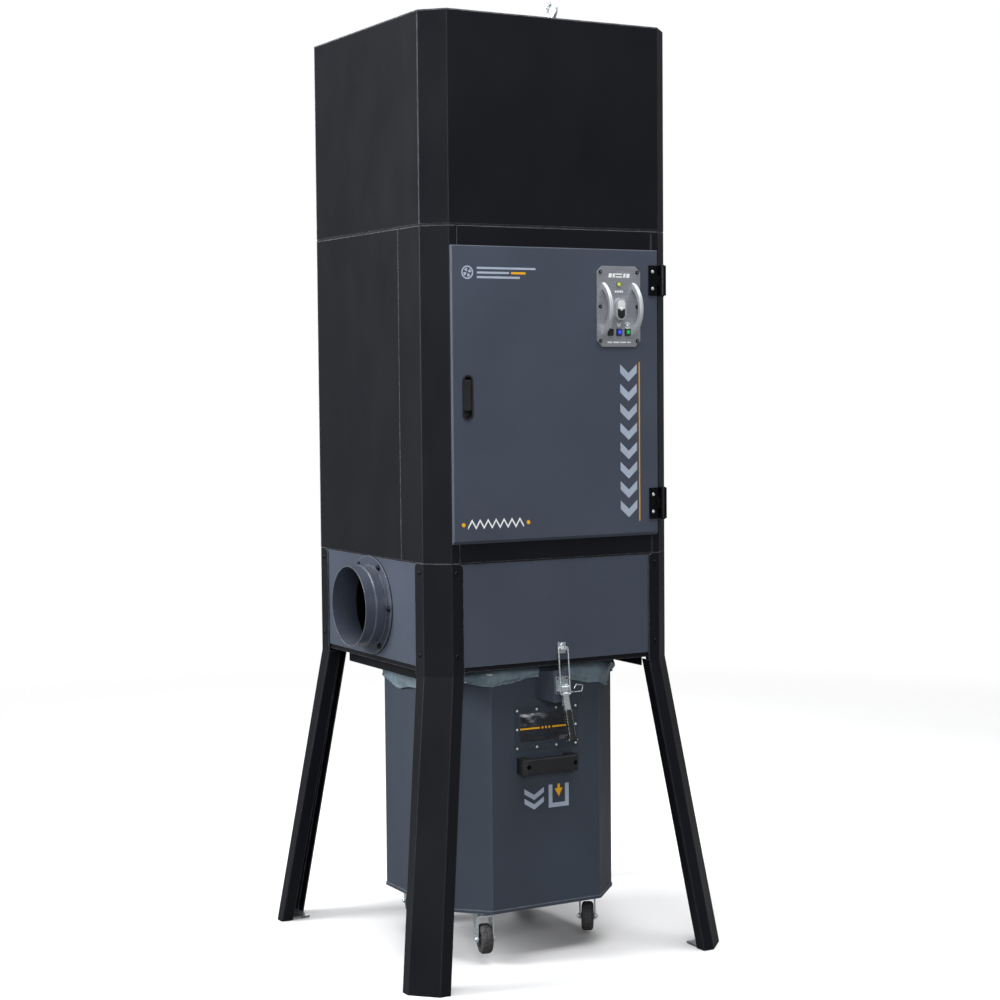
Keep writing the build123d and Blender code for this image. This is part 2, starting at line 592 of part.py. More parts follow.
# ---- Bin ----------------------------------------------------------------------------
def bin_shell():
    low, high = BIN_Z
    shell = prism(octagon(BIN_HALF, BIN_CORNER, BIN_Y), low, high)
    shell += prism(octagon(BIN_HALF + 4, BIN_CORNER + 2, BIN_Y), high - 9, high)
    shell += prism(octagon(BIN_HALF + 2, BIN_CORNER + 1, BIN_Y), low, low + 8)
    shell -= prism(octagon(BIN_HALF - BIN_SHEET, BIN_CORNER - 1, BIN_Y), low + BIN_SHEET, high + 1)
    return shell - block(WINDOW_X, (BIN_FRONT - 5, BIN_FRONT + 5), WINDOW_Z)


def liner_bag():
    """The bag as one closed skin: down the inside, over the rim and a short way down outside."""
    top, wall = 741.0, 1.0
    inside, outside = BIN_HALF - 4, BIN_HALF + 7.5
    bag = prism(octagon(inside, BIN_CORNER - 2, BIN_Y), BIN_Z[0] + 4, top - 1)
    bag += prism(octagon(outside, BIN_CORNER + 3, BIN_Y), top - wall, top)
    bag -= prism(octagon(inside - wall, BIN_CORNER - 2.5, BIN_Y), BIN_Z[0] + 5, top + 1)
    skirt = prism(octagon(outside, BIN_CORNER + 3, BIN_Y), 688, top)
    skirt -= prism(octagon(outside - wall, BIN_CORNER + 2.5, BIN_Y), 680, top + 1)
    notch = block((-34, 50), (BIN_FRONT - 20, BIN_FRONT), (680, 736))
    return bag + (skirt - notch)


def window_rivets():
    y, xs, zs = BIN_FRONT - 2, (-85, -28, 28, 85), (536, 631)
    places = [(x, z) for x in xs for z in zs] + [(-85, 583.5), (85, 583.5)]
    return [((x, y, z), (0, 1, 0)) for x, z in places]


def bridge_handle():
    x_low, x_high = HANDLE_X
    out = BIN_FRONT - 40
    grip = block(HANDLE_X, (out, BIN_FRONT), HANDLE_Z) - block((x_low + 26, x_high - 26), (out + 17, 0), (400, 600))
    grip = chamfer(grip.edges().filter_by(Axis.Z).group_by(Axis.Y)[0], 9)
    grip = fillet(grip.edges().filter_by(Axis.X).group_by(Axis.Y)[0], 5)
    for x in (x_low + 13, x_high - 13):
        grip -= rod(6, (x, out - 1, 493.5), (x, BIN_FRONT - 12, 493.5))
    return grip


def latch_mount():
    """Tapered stand-off block, then the steel base plate with its two ears and screw rod."""
    y = BIN_FRONT
    wide = Polyline((-30, y, 660), (46, y, 660), (46, y, 724), (-30, y, 724), close=True)
    narrow = Polyline((-14, -346, 654), (30, -346, 654), (30, -346, 734), (-14, -346, 734), close=True)
    stand_off = loft([make_face(wide), make_face(narrow)], ruled=True)
    plate = block((LATCH_X - 18, LATCH_X + 18), (LATCH_BASE_FACE, -346), (675, 718))
    plate = fillet(plate.edges().filter_by(Axis.Y), 3)
    pivot_y, pivot_z = LEVER_PIVOT
    for side in (-1, 1):
        ear_x = sorted((LATCH_X + side * 9, LATCH_X + side * 11))
        plate += block(ear_x, (pivot_y, LATCH_BASE_FACE), (pivot_z - 9, pivot_z + 9))
        plate += rod(9, (ear_x[0], pivot_y, pivot_z), (ear_x[1], pivot_y, pivot_z))
    plate += rod(3, (LATCH_X - 11, pivot_y, pivot_z), (LATCH_X + 11, pivot_y, pivot_z))
    plate += block((LATCH_X - 5, LATCH_X + 5), (-356.5, LATCH_BASE_FACE), (675, 679))
    plate += rod(2.5, (LATCH_X, -353.5, 646), (LATCH_X, -353.5, 677))
    clip_x, clip_z = CLIP_PIVOT
    plate += block((LATCH_X + 17, clip_x + 4), (LATCH_BASE_FACE, -346), (clip_z - 5, clip_z + 5))
    plate += rod(1.5, (clip_x, -347, clip_z), (clip_x, -356, clip_z))
    return [stand_off, plate]


def latch_lever():
    """Steel strap lever, hanging down and outward, with a moulded grip on its lower end."""
    pivot_y, pivot_z = LEVER_PIVOT
    end_y, end_z = -397.0, 563.0
    along = Vector(0, end_y - pivot_y, end_z - pivot_z).normalized()
    frame = Plane(origin=(LATCH_X, pivot_y, pivot_z), x_dir=(1, 0, 0), z_dir=along)
    length = math.hypot(end_y - pivot_y, end_z - pivot_z)
    strap_length = 54.0
    strap = frame * Pos(0, 0, strap_length / 2) * Box(16, 6, strap_length)
    strap += rod(7, (LATCH_X - 8, pivot_y, pivot_z), (LATCH_X + 8, pivot_y, pivot_z))
    strap -= rod(3 + RUNNING, (LATCH_X - 9, pivot_y, pivot_z), (LATCH_X + 9, pivot_y, pivot_z))
    y, z = BAIL_PIVOT
    boss = rod(5, (LATCH_X - 8, y, z), (LATCH_X + 8, y, z))
    strap = (strap + boss) - rod(WIRE + RUNNING, (LATCH_X - 9, y, z), (LATCH_X + 9, y, z))
    grip = frame * Pos(0, 0, (strap_length + length) / 2) * Box(17, 10, length - strap_length)
    grip = fillet(grip.edges().filter_by(Axis.X), 2.5)
    foot = frame * Pos(0, 0, length - 3) * Box(25, 12, 6)
    return [strap, grip + fillet(foot.edges().filter_by(Axis.X), 2)]


def latch_bail():
    y, z = BAIL_PIVOT
    top_y, top_z = BAIL_TOP
    left, right = LATCH_X - BAIL_HALF, LATCH_X + BAIL_HALF
    path = FilletPolyline((LATCH_X - 7, y, z), (left, y, z), (left, top_y, top_z), (right, top_y, top_z),
                          (right, y, z), (LATCH_X + 7, y, z), radius=2.6)
    return sweep(Plane(origin=path @ 0, z_dir=path % 0) * Circle(WIRE - 0.05), path)


def latch_clip():
    """Spring wire loop on the right of the latch."""
    y, (x, z) = -353.5, CLIP_PIVOT
    path = FilletPolyline((x, y, z), (62, y, z), (66, y, z + 15), (46, y, z + 18), (40, y, z + 8), radius=3)
    loop = sweep(Plane(origin=path @ 0, z_dir=path % 0) * Circle(1.2), path)
    eye = rod(3.4, (x, y - 1.6, z), (x, y + 1.6, z))
    return loop + eye - rod(1.5 + RUNNING, (x, y - 3, z), (x, y + 3, z))


def latch_keeper():
    """Keeper plate on the front panel with its ledge and one screw."""
    face = -PANEL_HALF - 3
    plate = block((LATCH_X - 11, LATCH_X + 11), (face, -PANEL_HALF), (776, 803))
    plate += block((LATCH_X - 9, LATCH_X + 9), (face - 11, face), (785, 788))
    plate = drilled(plate, [((LATCH_X, face, 796.5), (0, 1, 0))], 2.2, 4)
    return [plate, screw((LATCH_X, face, 796.5), (0, 1, 0), 4.4, 2.8, 2.0, 2.8)]


def caster_places():
    places = {}
    for name, heading in CASTER_HEADINGS.items():
        end, side = name.split("_")
        x = -CASTER_X if side == "left" else CASTER_X
        places[name] = (x, BIN_Y + (-CASTER_Y if end == "front" else CASTER_Y), heading)
    return places


def caster_plate(x, y):
    top = BIN_Z[0]
    plate = block((x - 34, x + 34), (y - 30, y + 30), (top - 3, top))
    return fillet(plate.edges().filter_by(Axis.Z), 6) + rod(5, (x, y, top - 14), (x, y, top - 1))


def caster_fork():
    """Fork about its swivel axis at x = y = 0, its wheel trailing along +X."""
    top = BIN_Z[0] - 3.4
    fork = rod(25, (0, 0, top - 5), (0, 0, top)) + block((-14, 34), (-20.5, 20.5), (top - 9, top - 5))
    for y in (-20.5, 18):
        points = [(-16, top - 5), (36, top - 5), (CASTER_TRAIL + 10, WHEEL_Z - 4), (CASTER_TRAIL + 4, WHEEL_Z - 9)]
        points += [(CASTER_TRAIL - 4, WHEEL_Z - 9), (CASTER_TRAIL - 10, WHEEL_Z - 2)]
        arm = make_face(Polyline(*[(x, y, z) for x, z in points], close=True))
        fork += extrude(arm, amount=2.5, dir=(0, 1, 0))
    fork += rod(4, (CASTER_TRAIL, -24, WHEEL_Z), (CASTER_TRAIL, 24, WHEEL_Z))
    for y in (-24, 20.5):
        fork += rod(6.5, (CASTER_TRAIL, y, WHEEL_Z), (CASTER_TRAIL, y + 3.5, WHEEL_Z))
    return fork - rod(5 + RUNNING, (0, 0, 90), (0, 0, 140))


def caster_wheel():
    half = WHEEL_WIDTH / 2
    wheel = rod(WHEEL_RADIUS, (CASTER_TRAIL, -half, WHEEL_Z), (CASTER_TRAIL, half, WHEEL_Z))
    wheel = fillet(wheel.edges().filter_by(GeomType.CIRCLE), 9)
    for y in (-half, half - 2):
        wheel -= rod(22, (CASTER_TRAIL, y, WHEEL_Z), (CASTER_TRAIL, y + 2, WHEEL_Z))
    wheel += rod(9, (CASTER_TRAIL, -half - 2, WHEEL_Z), (CASTER_TRAIL, half + 2, WHEEL_Z))
    return wheel - rod(4 + RUNNING, (CASTER_TRAIL, -30, WHEEL_Z), (CASTER_TRAIL, 30, WHEEL_Z))


def make_bin():
    rivets = window_rivets()
    save("bin_shell", drilled(bin_shell(), rivets, 2.05, 6))
    save("liner_bag", liner_bag())
    pane = block((-93, 93), (BIN_FRONT - 2, BIN_FRONT), (527, 640))
    pane = fillet(pane.edges().filter_by(Axis.Y), 6)
    save("window_pane", drilled(pane, rivets, 2.05, 6))
    save("window_rivets", *[screw(start, way, 3.6, 1.6, 2.0, 4) for start, way in rivets])
    save("bridge_handle", bridge_handle())
    save("latch_mount", *latch_mount())
    save("latch_lever", *latch_lever())
    save("latch_bail", latch_bail())
    save("latch_clip", latch_clip())
    save("latch_keeper", *latch_keeper())
    places = caster_places()
    save("caster_plates", *[caster_plate(x, y) for x, y, heading in places.values()])
    for name, (x, y, heading) in places.items():
        save(f"caster_fork_{name}", Pos(x, y) * Rot(0, 0, heading) * caster_fork())
        save(f"caster_wheel_{name}", Pos(x, y) * Rot(0, 0, heading) * caster_wheel())


os.makedirs("parts", exist_ok=True)
make_base()
make_section()
make_cabinet()
make_filter()
make_blower()
make_hood()
make_door()
make_bin()
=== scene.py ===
import json
import math

import bmesh
import bpy
from mathutils import Matrix, Vector, noise


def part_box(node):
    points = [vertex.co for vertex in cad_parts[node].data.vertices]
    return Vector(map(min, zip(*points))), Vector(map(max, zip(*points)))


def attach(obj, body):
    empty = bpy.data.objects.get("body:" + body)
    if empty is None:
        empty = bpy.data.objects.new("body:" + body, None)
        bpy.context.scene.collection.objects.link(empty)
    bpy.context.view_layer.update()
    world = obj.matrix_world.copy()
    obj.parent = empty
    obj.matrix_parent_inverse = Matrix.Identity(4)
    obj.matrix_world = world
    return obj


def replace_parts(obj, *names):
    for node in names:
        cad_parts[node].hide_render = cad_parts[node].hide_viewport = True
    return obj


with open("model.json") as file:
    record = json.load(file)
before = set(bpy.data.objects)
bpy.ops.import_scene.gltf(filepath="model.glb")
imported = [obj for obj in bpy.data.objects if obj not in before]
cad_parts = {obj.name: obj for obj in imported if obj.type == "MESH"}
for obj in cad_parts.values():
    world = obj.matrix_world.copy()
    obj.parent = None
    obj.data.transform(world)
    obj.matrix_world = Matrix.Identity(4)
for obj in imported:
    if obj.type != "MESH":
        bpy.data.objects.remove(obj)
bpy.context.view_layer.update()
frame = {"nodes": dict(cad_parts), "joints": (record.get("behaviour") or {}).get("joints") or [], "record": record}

RECORD = frame["record"]
JOINTS = {joint["name"]: joint for joint in frame["joints"]}
MM = 0.001

DOOR_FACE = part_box("door_panel")[0].y
BIN_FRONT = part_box("window_pane")[1].y
PLATE_FACE = DOOR_FACE - 4 * MM
CORNERS = ("front_left", "front_right", "back_left", "back_right")

# The part's driving dimensions that the pieces below are placed by, in metres
BODY_HALF, BODY_CORNER = 0.349, 0.052
Z_SILL, Z_DECK = 1.0126, 1.823
LEG_SCREW_X, LEG_SCREW_Y, LEG_SCREW_Z = 0.285, 0.278, (0.789, 0.989)
BACK_SCREW_X, BACK_SCREW_Z = (-0.272, 0.272), (1.05, 1.3, 1.55, 1.79, 1.85, 2.075, 2.3)
INLET_Z, INLET_BOLTS = 0.886, 0.114
LATCH_PLATE_BACK, BEZEL_TOP, DECK_PAINT_EDGE = -0.34602, 1.67, 0.318

# and those in millimetres
HINGE_AXIS, HINGE_ENDS = (298, -368), ((1178, 1), (1100, -1), (1735, 1), (1660, -1))
HINGE_SCREW_X, HINGE_SCREW_Z = 271, (1118, 1161, 1677, 1719)
PLATE_CENTRE, PLATE_SCREW_X, PLATE_SCREW_Z = (170.5, 1631.5), (-54, 54), (-85, 0, 85)
PILL_Z, INDICATOR_Z = 1625, 1686
KEY_X, KEY_Z = (145.5, 170.5, 195.5), 1568
WINDOW_CENTRE, LATCH_X, LATCH_ROD_FOOT = (-2, 585.5), 8, (-353.5, 645.6)
LATCH_SCREW_X, LATCH_SCREW_Z = (-13.5, 13.5), (679.5, 713.5)
LATCH_LEVER_RUN = (0, -37, -127)
HANDLE_SCREW_X, HANDLE_SCREW_Z = (-72, 62), 493.5
WINDOW_OPENING, RIVET_X, RIVET_Z = (74, 35.5), (-85, -28, 28, 85), (536, 583.5, 631)

# The camera stands at a place in metres and is turned by yaw, pitch and roll in degrees
CAMERA_PLACE, CAMERA_ANGLES, CAMERA_LENS = (-2.5357, -4.5836, 1.450), (-29.255, -3.395, -0.49), 72.31


# ---- Materials ------------------------------------------------------------------------
def linear(red, green, blue):
    """A colour given in 0..255 display values, as the shader wants it."""
    shares = [value / 255 for value in (red, green, blue)]
    return tuple(c / 12.92 if c < 0.039 else ((c + 0.055) / 1.055) ** 2.4 for c in shares) + (1,)


def tint(colour, factor):
    return tuple(min(1.0, c * factor) for c in colour[:3]) + (1,)


class Surface:
    """A Principled material whose detail comes from object-space textures."""

    def __init__(self, name, **constants):
        self.material = bpy.data.materials.new(name)
        self.material.use_nodes = True
        self.tree = self.material.node_tree
        self.shader = self.tree.nodes["Principled BSDF"]
        self.place = self.node("ShaderNodeTexCoord").outputs["Object"]
        for socket, value in constants.items():
            self.shader.inputs[socket.replace("_", " ")].default_value = value

    def node(self, kind, inputs=None, **settings):
        made = self.tree.nodes.new(kind)
        for name, value in settings.items():
            setattr(made, name, value)
        for socket, value in (inputs or {}).items():
            self.feed(made.inputs[socket], value)
        return made

    def feed(self, socket, value):
        if isinstance(value, bpy.types.NodeSocket):
            self.tree.links.new(value, socket)
        else:
            socket.default_value = value

    def give(self, socket, value):
        self.feed(self.shader.inputs[socket], value)

    def noise(self, scale, detail=3.0, stretch=(1, 1, 1)):
        place = self.node("ShaderNodeMapping", {"Vector": self.place, "Scale": stretch}).outputs[0]
        return self.node("ShaderNodeTexNoise", {"Vector": place, "Scale": scale, "Detail": detail}).outputs[0]

    def spread(self, value, low, high, first=0.3, last=0.7):
        """Map a value from first..last to low..high, clamped."""
        ends = {"From Min": first, "From Max": last, "To Min": low, "To Max": high}
        return self.node("ShaderNodeMapRange", {"Value": value, **ends}).outputs[0]

    def maths(self, operation, first, second):
        return self.node("ShaderNodeMath", {0: first, 1: second}, operation=operation).outputs[0]

    def blend(self, amount, first, second):
        """Mix two colours."""
        return self.node("ShaderNodeMix", {0: amount, 6: first, 7: second}, data_type="RGBA").outputs[2]

    def bump(self, height, depth, normal=None):
        inputs = {"Height": height, "Distance": depth, "Strength": 1.0}
        if normal is not None:
            inputs["Normal"] = normal
        return self.node("ShaderNodeBump", inputs).outputs[0]

    def rounded(self, radius):
        """The normal with every edge rounded, and a mask that is 1 on those edges."""
        soft = self.node("ShaderNodeBevel", {"Radius": radius}, samples=4).outputs[0]
        true = self.node("ShaderNodeNewGeometry").outputs["True Normal"]
        along = self.node("ShaderNodeVectorMath", {0: soft, 1: true}, operation="DOT_PRODUCT")
        return soft, self.spread(along.outputs["Value"], 1.0, 0.0, 0.86, 0.995)

    def axes(self):
        """The X, Y and Z of the point being shaded, in metres."""
        return self.node("ShaderNodeSeparateXYZ", {0: self.place}).outputs

    def facing_up(self):
        """A mask that is 1 where the surface faces the sky."""
        normal = self.node("ShaderNodeNewGeometry").outputs["Normal"]
        return self.spread(self.node("ShaderNodeSeparateXYZ", {0: normal}).outputs[2], 0.0, 1.0, 0.75, 1.0)


def powder_coat(name, colour, roughness, edge, shine=0.35):
    """Fine-textured powder coat: orange peel, slow tone changes, edges lightened partly as wear and partly as a
    painted highlight, and a little settled dust.
    """
    s = Surface(name, Specular_IOR_Level=shine)
    normal, edges = s.rounded(2.4 * MM)
    cloud = s.noise(3.0, 4.0)
    tone = s.blend(s.spread(cloud, 0.0, 1.0), tint(colour, 0.88), tint(colour, 1.12))
    speckle = s.noise(1900, 2.0)
    tone = s.blend(s.spread(speckle, 0.0, 0.16, 0.5, 0.8), tone, tint(colour, 2.0))
    # The edges are lightened towards the edge colour: partly wear, partly a painted highlight along every bend.
    edge_wear_and_highlight = s.maths("MULTIPLY", edges, s.spread(s.noise(60, 3.0), 0.4, 1.0, 0.35, 0.65))
    tone = s.blend(edge_wear_and_highlight, tone, edge)
    dust = s.maths("MULTIPLY", s.facing_up(), s.spread(s.noise(14, 6.0), 0.02, 0.16))
    s.give("Base Color", s.blend(dust, tone, linear(150, 146, 138)))
    hands = s.spread(s.noise(9, 5.0, (1, 1, 0.5)), roughness - 0.05, roughness + 0.07)
    s.give("Roughness", s.maths("ADD", hands, s.maths("MULTIPLY", dust, 1.2)))
    wave = s.bump(s.noise(5.5, 1.0), 0.5 * MM, normal)
    s.give("Normal", s.bump(s.noise(950, 2.0), 0.03 * MM, wave))
    return s.material


def galvanised(name, painted_beyond=None):
    """Spangled zinc sheet, painted black where it comes out between the covers."""
    s = Surface(name, Metallic=0.8)
    grain = s.node("ShaderNodeTexVoronoi", {"Vector": s.place, "Scale": 70.0, "Randomness": 1.0})
    shade = s.node("ShaderNodeSeparateXYZ", {0: grain.outputs["Color"]}).outputs[0]
    pale = s.spread(shade, 0.0, 1.0, 0.0, 1.0)
    colour = s.blend(pale, linear(140, 146, 150), linear(190, 194, 196))
    if painted_beyond:
        x, y, _ = s.axes()
        reach = s.maths("MAXIMUM", s.maths("ABSOLUTE", x, 0.0), s.maths("ABSOLUTE", y, 0.0))
        painted = s.maths("GREATER_THAN", reach, painted_beyond)
        colour = s.blend(painted, colour, BLACK)
        s.give("Metallic", s.spread(painted, 0.8, 0.0, 0.0, 1.0))
    s.give("Base Color", colour)
    s.give("Roughness", s.spread(pale, 0.36, 0.52, 0.0, 1.0))
    s.give("Normal", s.bump(s.noise(240, 3.0), 0.03 * MM, s.rounded(0.8 * MM)[0]))
    return s.material


def bright_metal(name, colour, roughness, streak=(1, 1, 1), scale=160, metallic=1.0):
    """Plated or cast metal: drawn streaks, small stains and softened edges."""
    s = Surface(name, Metallic=metallic)
    streaks = s.noise(scale, 4.0, streak)
    stains = s.noise(38, 5.0)
    tone = s.blend(s.spread(streaks, 0.0, 1.0), tint(colour, 0.9), tint(colour, 1.08))
    s.give("Base Color", s.blend(s.spread(stains, 0.0, 0.2, 0.55, 0.75), tone, tint(colour, 0.6)))
    s.give("Roughness", s.spread(streaks, roughness - 0.04, roughness + 0.07))
    s.give("Normal", s.bump(streaks, 0.008 * MM, s.rounded(0.5 * MM)[0]))
    return s.material


def brushed(name, colour):
    """Horizontally brushed aluminium with a clear coat."""
    s = Surface(name, Metallic=0.55, Coat_Weight=0.25, Coat_Roughness=0.3)
    lines = s.noise(420, 3.0, (0.03, 1, 1))
    fine = s.noise(1700, 2.0, (0.02, 1, 1))
    both = s.maths("ADD", s.maths("MULTIPLY", lines, 0.5), s.maths("MULTIPLY", fine, 0.5))
    shade = s.spread(both, 0.0, 1.0, 0.35, 0.65)
    s.give("Base Color", s.blend(shade, tint(colour, 0.82), tint(colour, 1.15)))
    s.give("Roughness", s.spread(both, 0.34, 0.52, 0.35, 0.65))
    s.give("Normal", s.bump(both, 0.035 * MM, s.rounded(0.6 * MM)[0]))
    return s.material


def plastic(name, colour, roughness, grain_depth=0.03, grain=1300):
    """Moulded plastic with a spark-eroded grain and slightly polished edges, lightened in colour as a painted
    highlight.
    """
    s = Surface(name, Specular_IOR_Level=0.45)
    normal, edges = s.rounded(0.7 * MM)
    marks = s.noise(45, 5.0)
    tone = s.blend(s.spread(marks, 0.0, 1.0), tint(colour, 0.9), tint(colour, 1.1))
    # Edges are painted lighter as a highlight; their polish is the lower roughness below.
    s.give("Base Color", s.blend(s.maths("MULTIPLY", edges, 0.3), tone, tint(colour, 1.9)))
    worn = s.spread(marks, roughness - 0.05, roughness + 0.06)
    s.give("Roughness", s.maths("SUBTRACT", worn, s.maths("MULTIPLY", edges, 0.1)))
    s.give("Normal", s.bump(s.noise(grain, 2.0), grain_depth * MM, normal))
    return s.material


def rubber(name, colour, dusty):
    """Matt rubber with a dry bloom and, on wheels, floor dust worked into it."""
    s = Surface(name, Specular_IOR_Level=0.3)
    bloom = s.noise(70, 6.0)
    tone = s.blend(s.spread(bloom, 0.0, 1.0), tint(colour, 0.8), tint(colour, 1.25))
    dust = s.spread(s.noise(260, 4.0), 0.0, dusty, 0.5, 0.75)
    s.give("Base Color", s.blend(dust, tone, linear(140, 134, 124)))
    s.give("Roughness", s.spread(bloom, 0.62, 0.85))
    s.give("Normal", s.bump(s.noise(900, 3.0), 0.05 * MM, s.rounded(0.5 * MM)[0]))
    return s.material


def film():
    """Thin blue-grey polythene with fine creases."""
    s = Surface("liner_polythene", IOR=1.5, Coat_Weight=0.6, Coat_Roughness=0.16)
    crease = s.noise(11, 2.0, (1, 1, 0.6))
    tone = s.blend(s.spread(crease, 0.0, 1.0), linear(92, 110, 122), linear(128, 146, 158))
    s.give("Base Color", tone)
    s.give("Roughness", s.spread(s.noise(60, 3.0), 0.28, 0.44))
    folds = s.bump(s.noise(34, 2.0, (1, 1, 0.5)), 1.6 * MM)
    s.give("Normal", s.bump(s.noise(240, 3.0), 0.06 * MM, folds))
    return s.material


def clear_sheet():
    """Flexible clear window: near-black and partly opaque over its opening as painted shade of the bin's inside,
    with scuffs, ripples and two bands of painted glints.
    """
    s = Surface("window_clear", IOR=1.47, Specular_IOR_Level=0.9)
    x, _, z = s.axes()
    across = s.maths("ABSOLUTE", s.maths("SUBTRACT", x, WINDOW_CENTRE[0] * MM), 0.0)
    upright = s.maths("ABSOLUTE", s.maths("SUBTRACT", z, WINDOW_CENTRE[1] * MM), 0.0)
    away = (across, upright)
    within = [s.maths("LESS_THAN", a, half * MM) for a, half in zip(away, WINDOW_OPENING)]
    opening = s.maths("MULTIPLY", *within)
    # Two bands of painted glints, upper left and lower right: lighter colour and more opacity in creased streaks.
    upper = s.maths("MULTIPLY", s.spread(z, 0.0, 1.0, 0.588, 0.612), s.spread(x, 1.0, 0.0, -0.045, 0.01))
    lower = s.maths("MULTIPLY", s.spread(z, 1.0, 0.0, 0.554, 0.570), s.spread(x, 0.0, 1.0, 0.035, 0.055))
    streaks = s.spread(s.noise(36, 2.0, (1, 1, 2.2)), 0.0, 1.0, 0.46, 0.66)
    painted_glints = s.maths("MULTIPLY", s.maths("MULTIPLY", s.maths("MAXIMUM", upper, lower), streaks), opening)
    s.give("Base Color", s.blend(painted_glints, linear(26, 24, 32), linear(214, 217, 222)))
    scuffs = s.spread(s.noise(220, 5.0, (1, 1, 0.25)), 0.03, 0.09)
    # Over the opening the near-black sheet is 40% opaque, painted shade of the bin's inside; elsewhere only faint
    # scuffs show.
    painted_shade_and_scuffs = s.maths("ADD", s.maths("MULTIPLY", opening, 0.4), scuffs)
    s.give("Alpha", s.maths("MAXIMUM", painted_shade_and_scuffs, s.maths("MULTIPLY", painted_glints, 0.8)))
    s.give("Roughness", s.spread(s.noise(150, 4.0), 0.06, 0.2))
    s.give("Normal", s.bump(s.noise(34, 3.0, (1, 1, 1.6)), 0.9 * MM))
    return s.material


def pleat_paper():
    """Non-woven filter media, fibrous, greyed in patches by fine dust."""
    s = Surface("filter_media", Sheen_Weight=0.2)
    fibres = s.noise(700, 4.0, (1, 1, 0.25))
    soot = s.spread(s.noise(6, 5.0), 0.0, 0.55)
    tone = s.blend(s.spread(fibres, 0.0, 1.0), linear(214, 210, 196), linear(238, 236, 228))
    s.give("Base Color", s.blend(soot, tone, linear(176, 160, 136)))
    s.give("Roughness", s.spread(fibres, 0.8, 0.95))
    s.give("Normal", s.bump(fibres, 0.12 * MM))
    return s.material


def printed(name, colour, roughness=0.4):
    """Ink or vinyl on the paint: tiny pinholes, a slight tone change and a faint texture from below."""
    s = Surface(name, Specular_IOR_Level=0.4)
    pores = s.noise(1400, 3.0)
    tone = s.blend(s.spread(s.noise(25, 4.0), 0.0, 1.0), tint(colour, 0.93), tint(colour, 1.05))
    s.give("Base Color", s.blend(s.spread(pores, 0.0, 0.35, 0.66, 0.8), tone, tint(colour, 0.55)))
    s.give("Roughness", s.spread(pores, roughness - 0.04, roughness + 0.08))
    s.give("Normal", s.bump(pores, 0.02 * MM))
    return s.material


def lens(name, colour, glow):
    """A tinted lamp lens, moulded with a fine pattern, that glows a little."""
    s = Surface(name, IOR=1.49, Coat_Weight=0.6, Coat_Roughness=0.08, Emission_Strength=glow)
    cells = s.node("ShaderNodeTexVoronoi", {"Vector": s.place, "Scale": 900.0}).outputs["Distance"]
    s.give("Base Color", s.blend(s.spread(cells, 0.0, 1.0, 0.1, 0.7), tint(colour, 0.7), colour))
    s.give("Emission Color", s.blend(s.spread(cells, 0.0, 1.0, 0.1, 0.7), tint(colour, 0.6), colour))
    s.give("Roughness", s.spread(cells, 0.2, 0.4, 0.1, 0.7))
    s.give("Normal", s.bump(cells, 0.05 * MM))
    return s.material


def two_tone(name, axis, limit, below, above):
    """One node with two finishes, parted by a plane: each finish is (colour, metallic, roughness)."""
    s = Surface(name)
    mask = s.maths("GREATER_THAN", s.axes()[axis], limit)
    grain = s.noise(180, 4.0)
    tones = [s.blend(s.spread(grain, 0.0, 1.0), tint(c, 0.85), tint(c, 1.12)) for c in (below[0], above[0])]
    s.give("Base Color", s.blend(mask, *tones))
    for socket, number in (("Metallic", 1), ("Roughness", 2)):
        step = s.maths("MULTIPLY", mask, above[number] - below[number])
        s.give(socket, s.maths("ADD", step, below[number]))
    s.give("Normal", s.bump(s.noise(1000, 2.0), 0.025 * MM, s.rounded(0.7 * MM)[0]))
    return s.material


BLACK = linear(21, 22, 27)
SLATE = linear(68, 75, 89)
ZINC = linear(228, 237, 241)
AMBER = linear(252, 182, 24)
PALE_BLUE = linear(172, 184, 202)

# Each powder coat's fourth colour is its edge colour: partly wear, partly a painted highlight.
LOOKS = {
    "black_powder": powder_coat("black_powder_coat", BLACK, 0.42, linear(146, 151, 160), 0.16),
    "grey_powder": powder_coat("slate_powder_coat", SLATE, 0.47, linear(128, 134, 146)),
    "galvanised": galvanised("galvanised_sheet"),
    "zinc": bright_metal("zinc_plate", ZINC, 0.28, metallic=0.8),
    "black_oxide": bright_metal("black_oxide", linear(44, 45, 48), 0.38),
    "brushed_plate": brushed("brushed_aluminium", linear(164, 168, 176)),
    "satin_bow": bright_metal("satin_aluminium", linear(206, 209, 214), 0.5, (1, 1, 0.1), metallic=0.45),
    "motor_paint": powder_coat("motor_paint", linear(70, 84, 98), 0.5, linear(150, 154, 158)),
    "impeller_alloy": bright_metal("impeller_alloy", linear(178, 182, 186), 0.42, (1, 1, 0.2), 90),
    "seal_rubber": rubber("seal_rubber", linear(30, 30, 31), 0.1),
    "wheel_rubber": rubber("wheel_rubber", linear(62, 62, 65), 0.4),
    "black_plastic": plastic("black_plastic", linear(30, 31, 33), 0.46),
    "white_plastic": plastic("white_plastic", linear(226, 227, 228), 0.3, 0.01),
    "blue_lens": lens("blue_lens", linear(44, 66, 232), 1.6),
    "green_lens": lens("green_lens", linear(24, 160, 70), 0.9),
    "clear_sheet": clear_sheet(),
    "film": film(),
    "filter_media": pleat_paper(),
}
INK = {
    "pale": printed("vinyl_pale_blue", PALE_BLUE),
    "amber": printed("vinyl_amber", AMBER),
    "white": printed("ink_white", linear(252, 253, 255)),
}


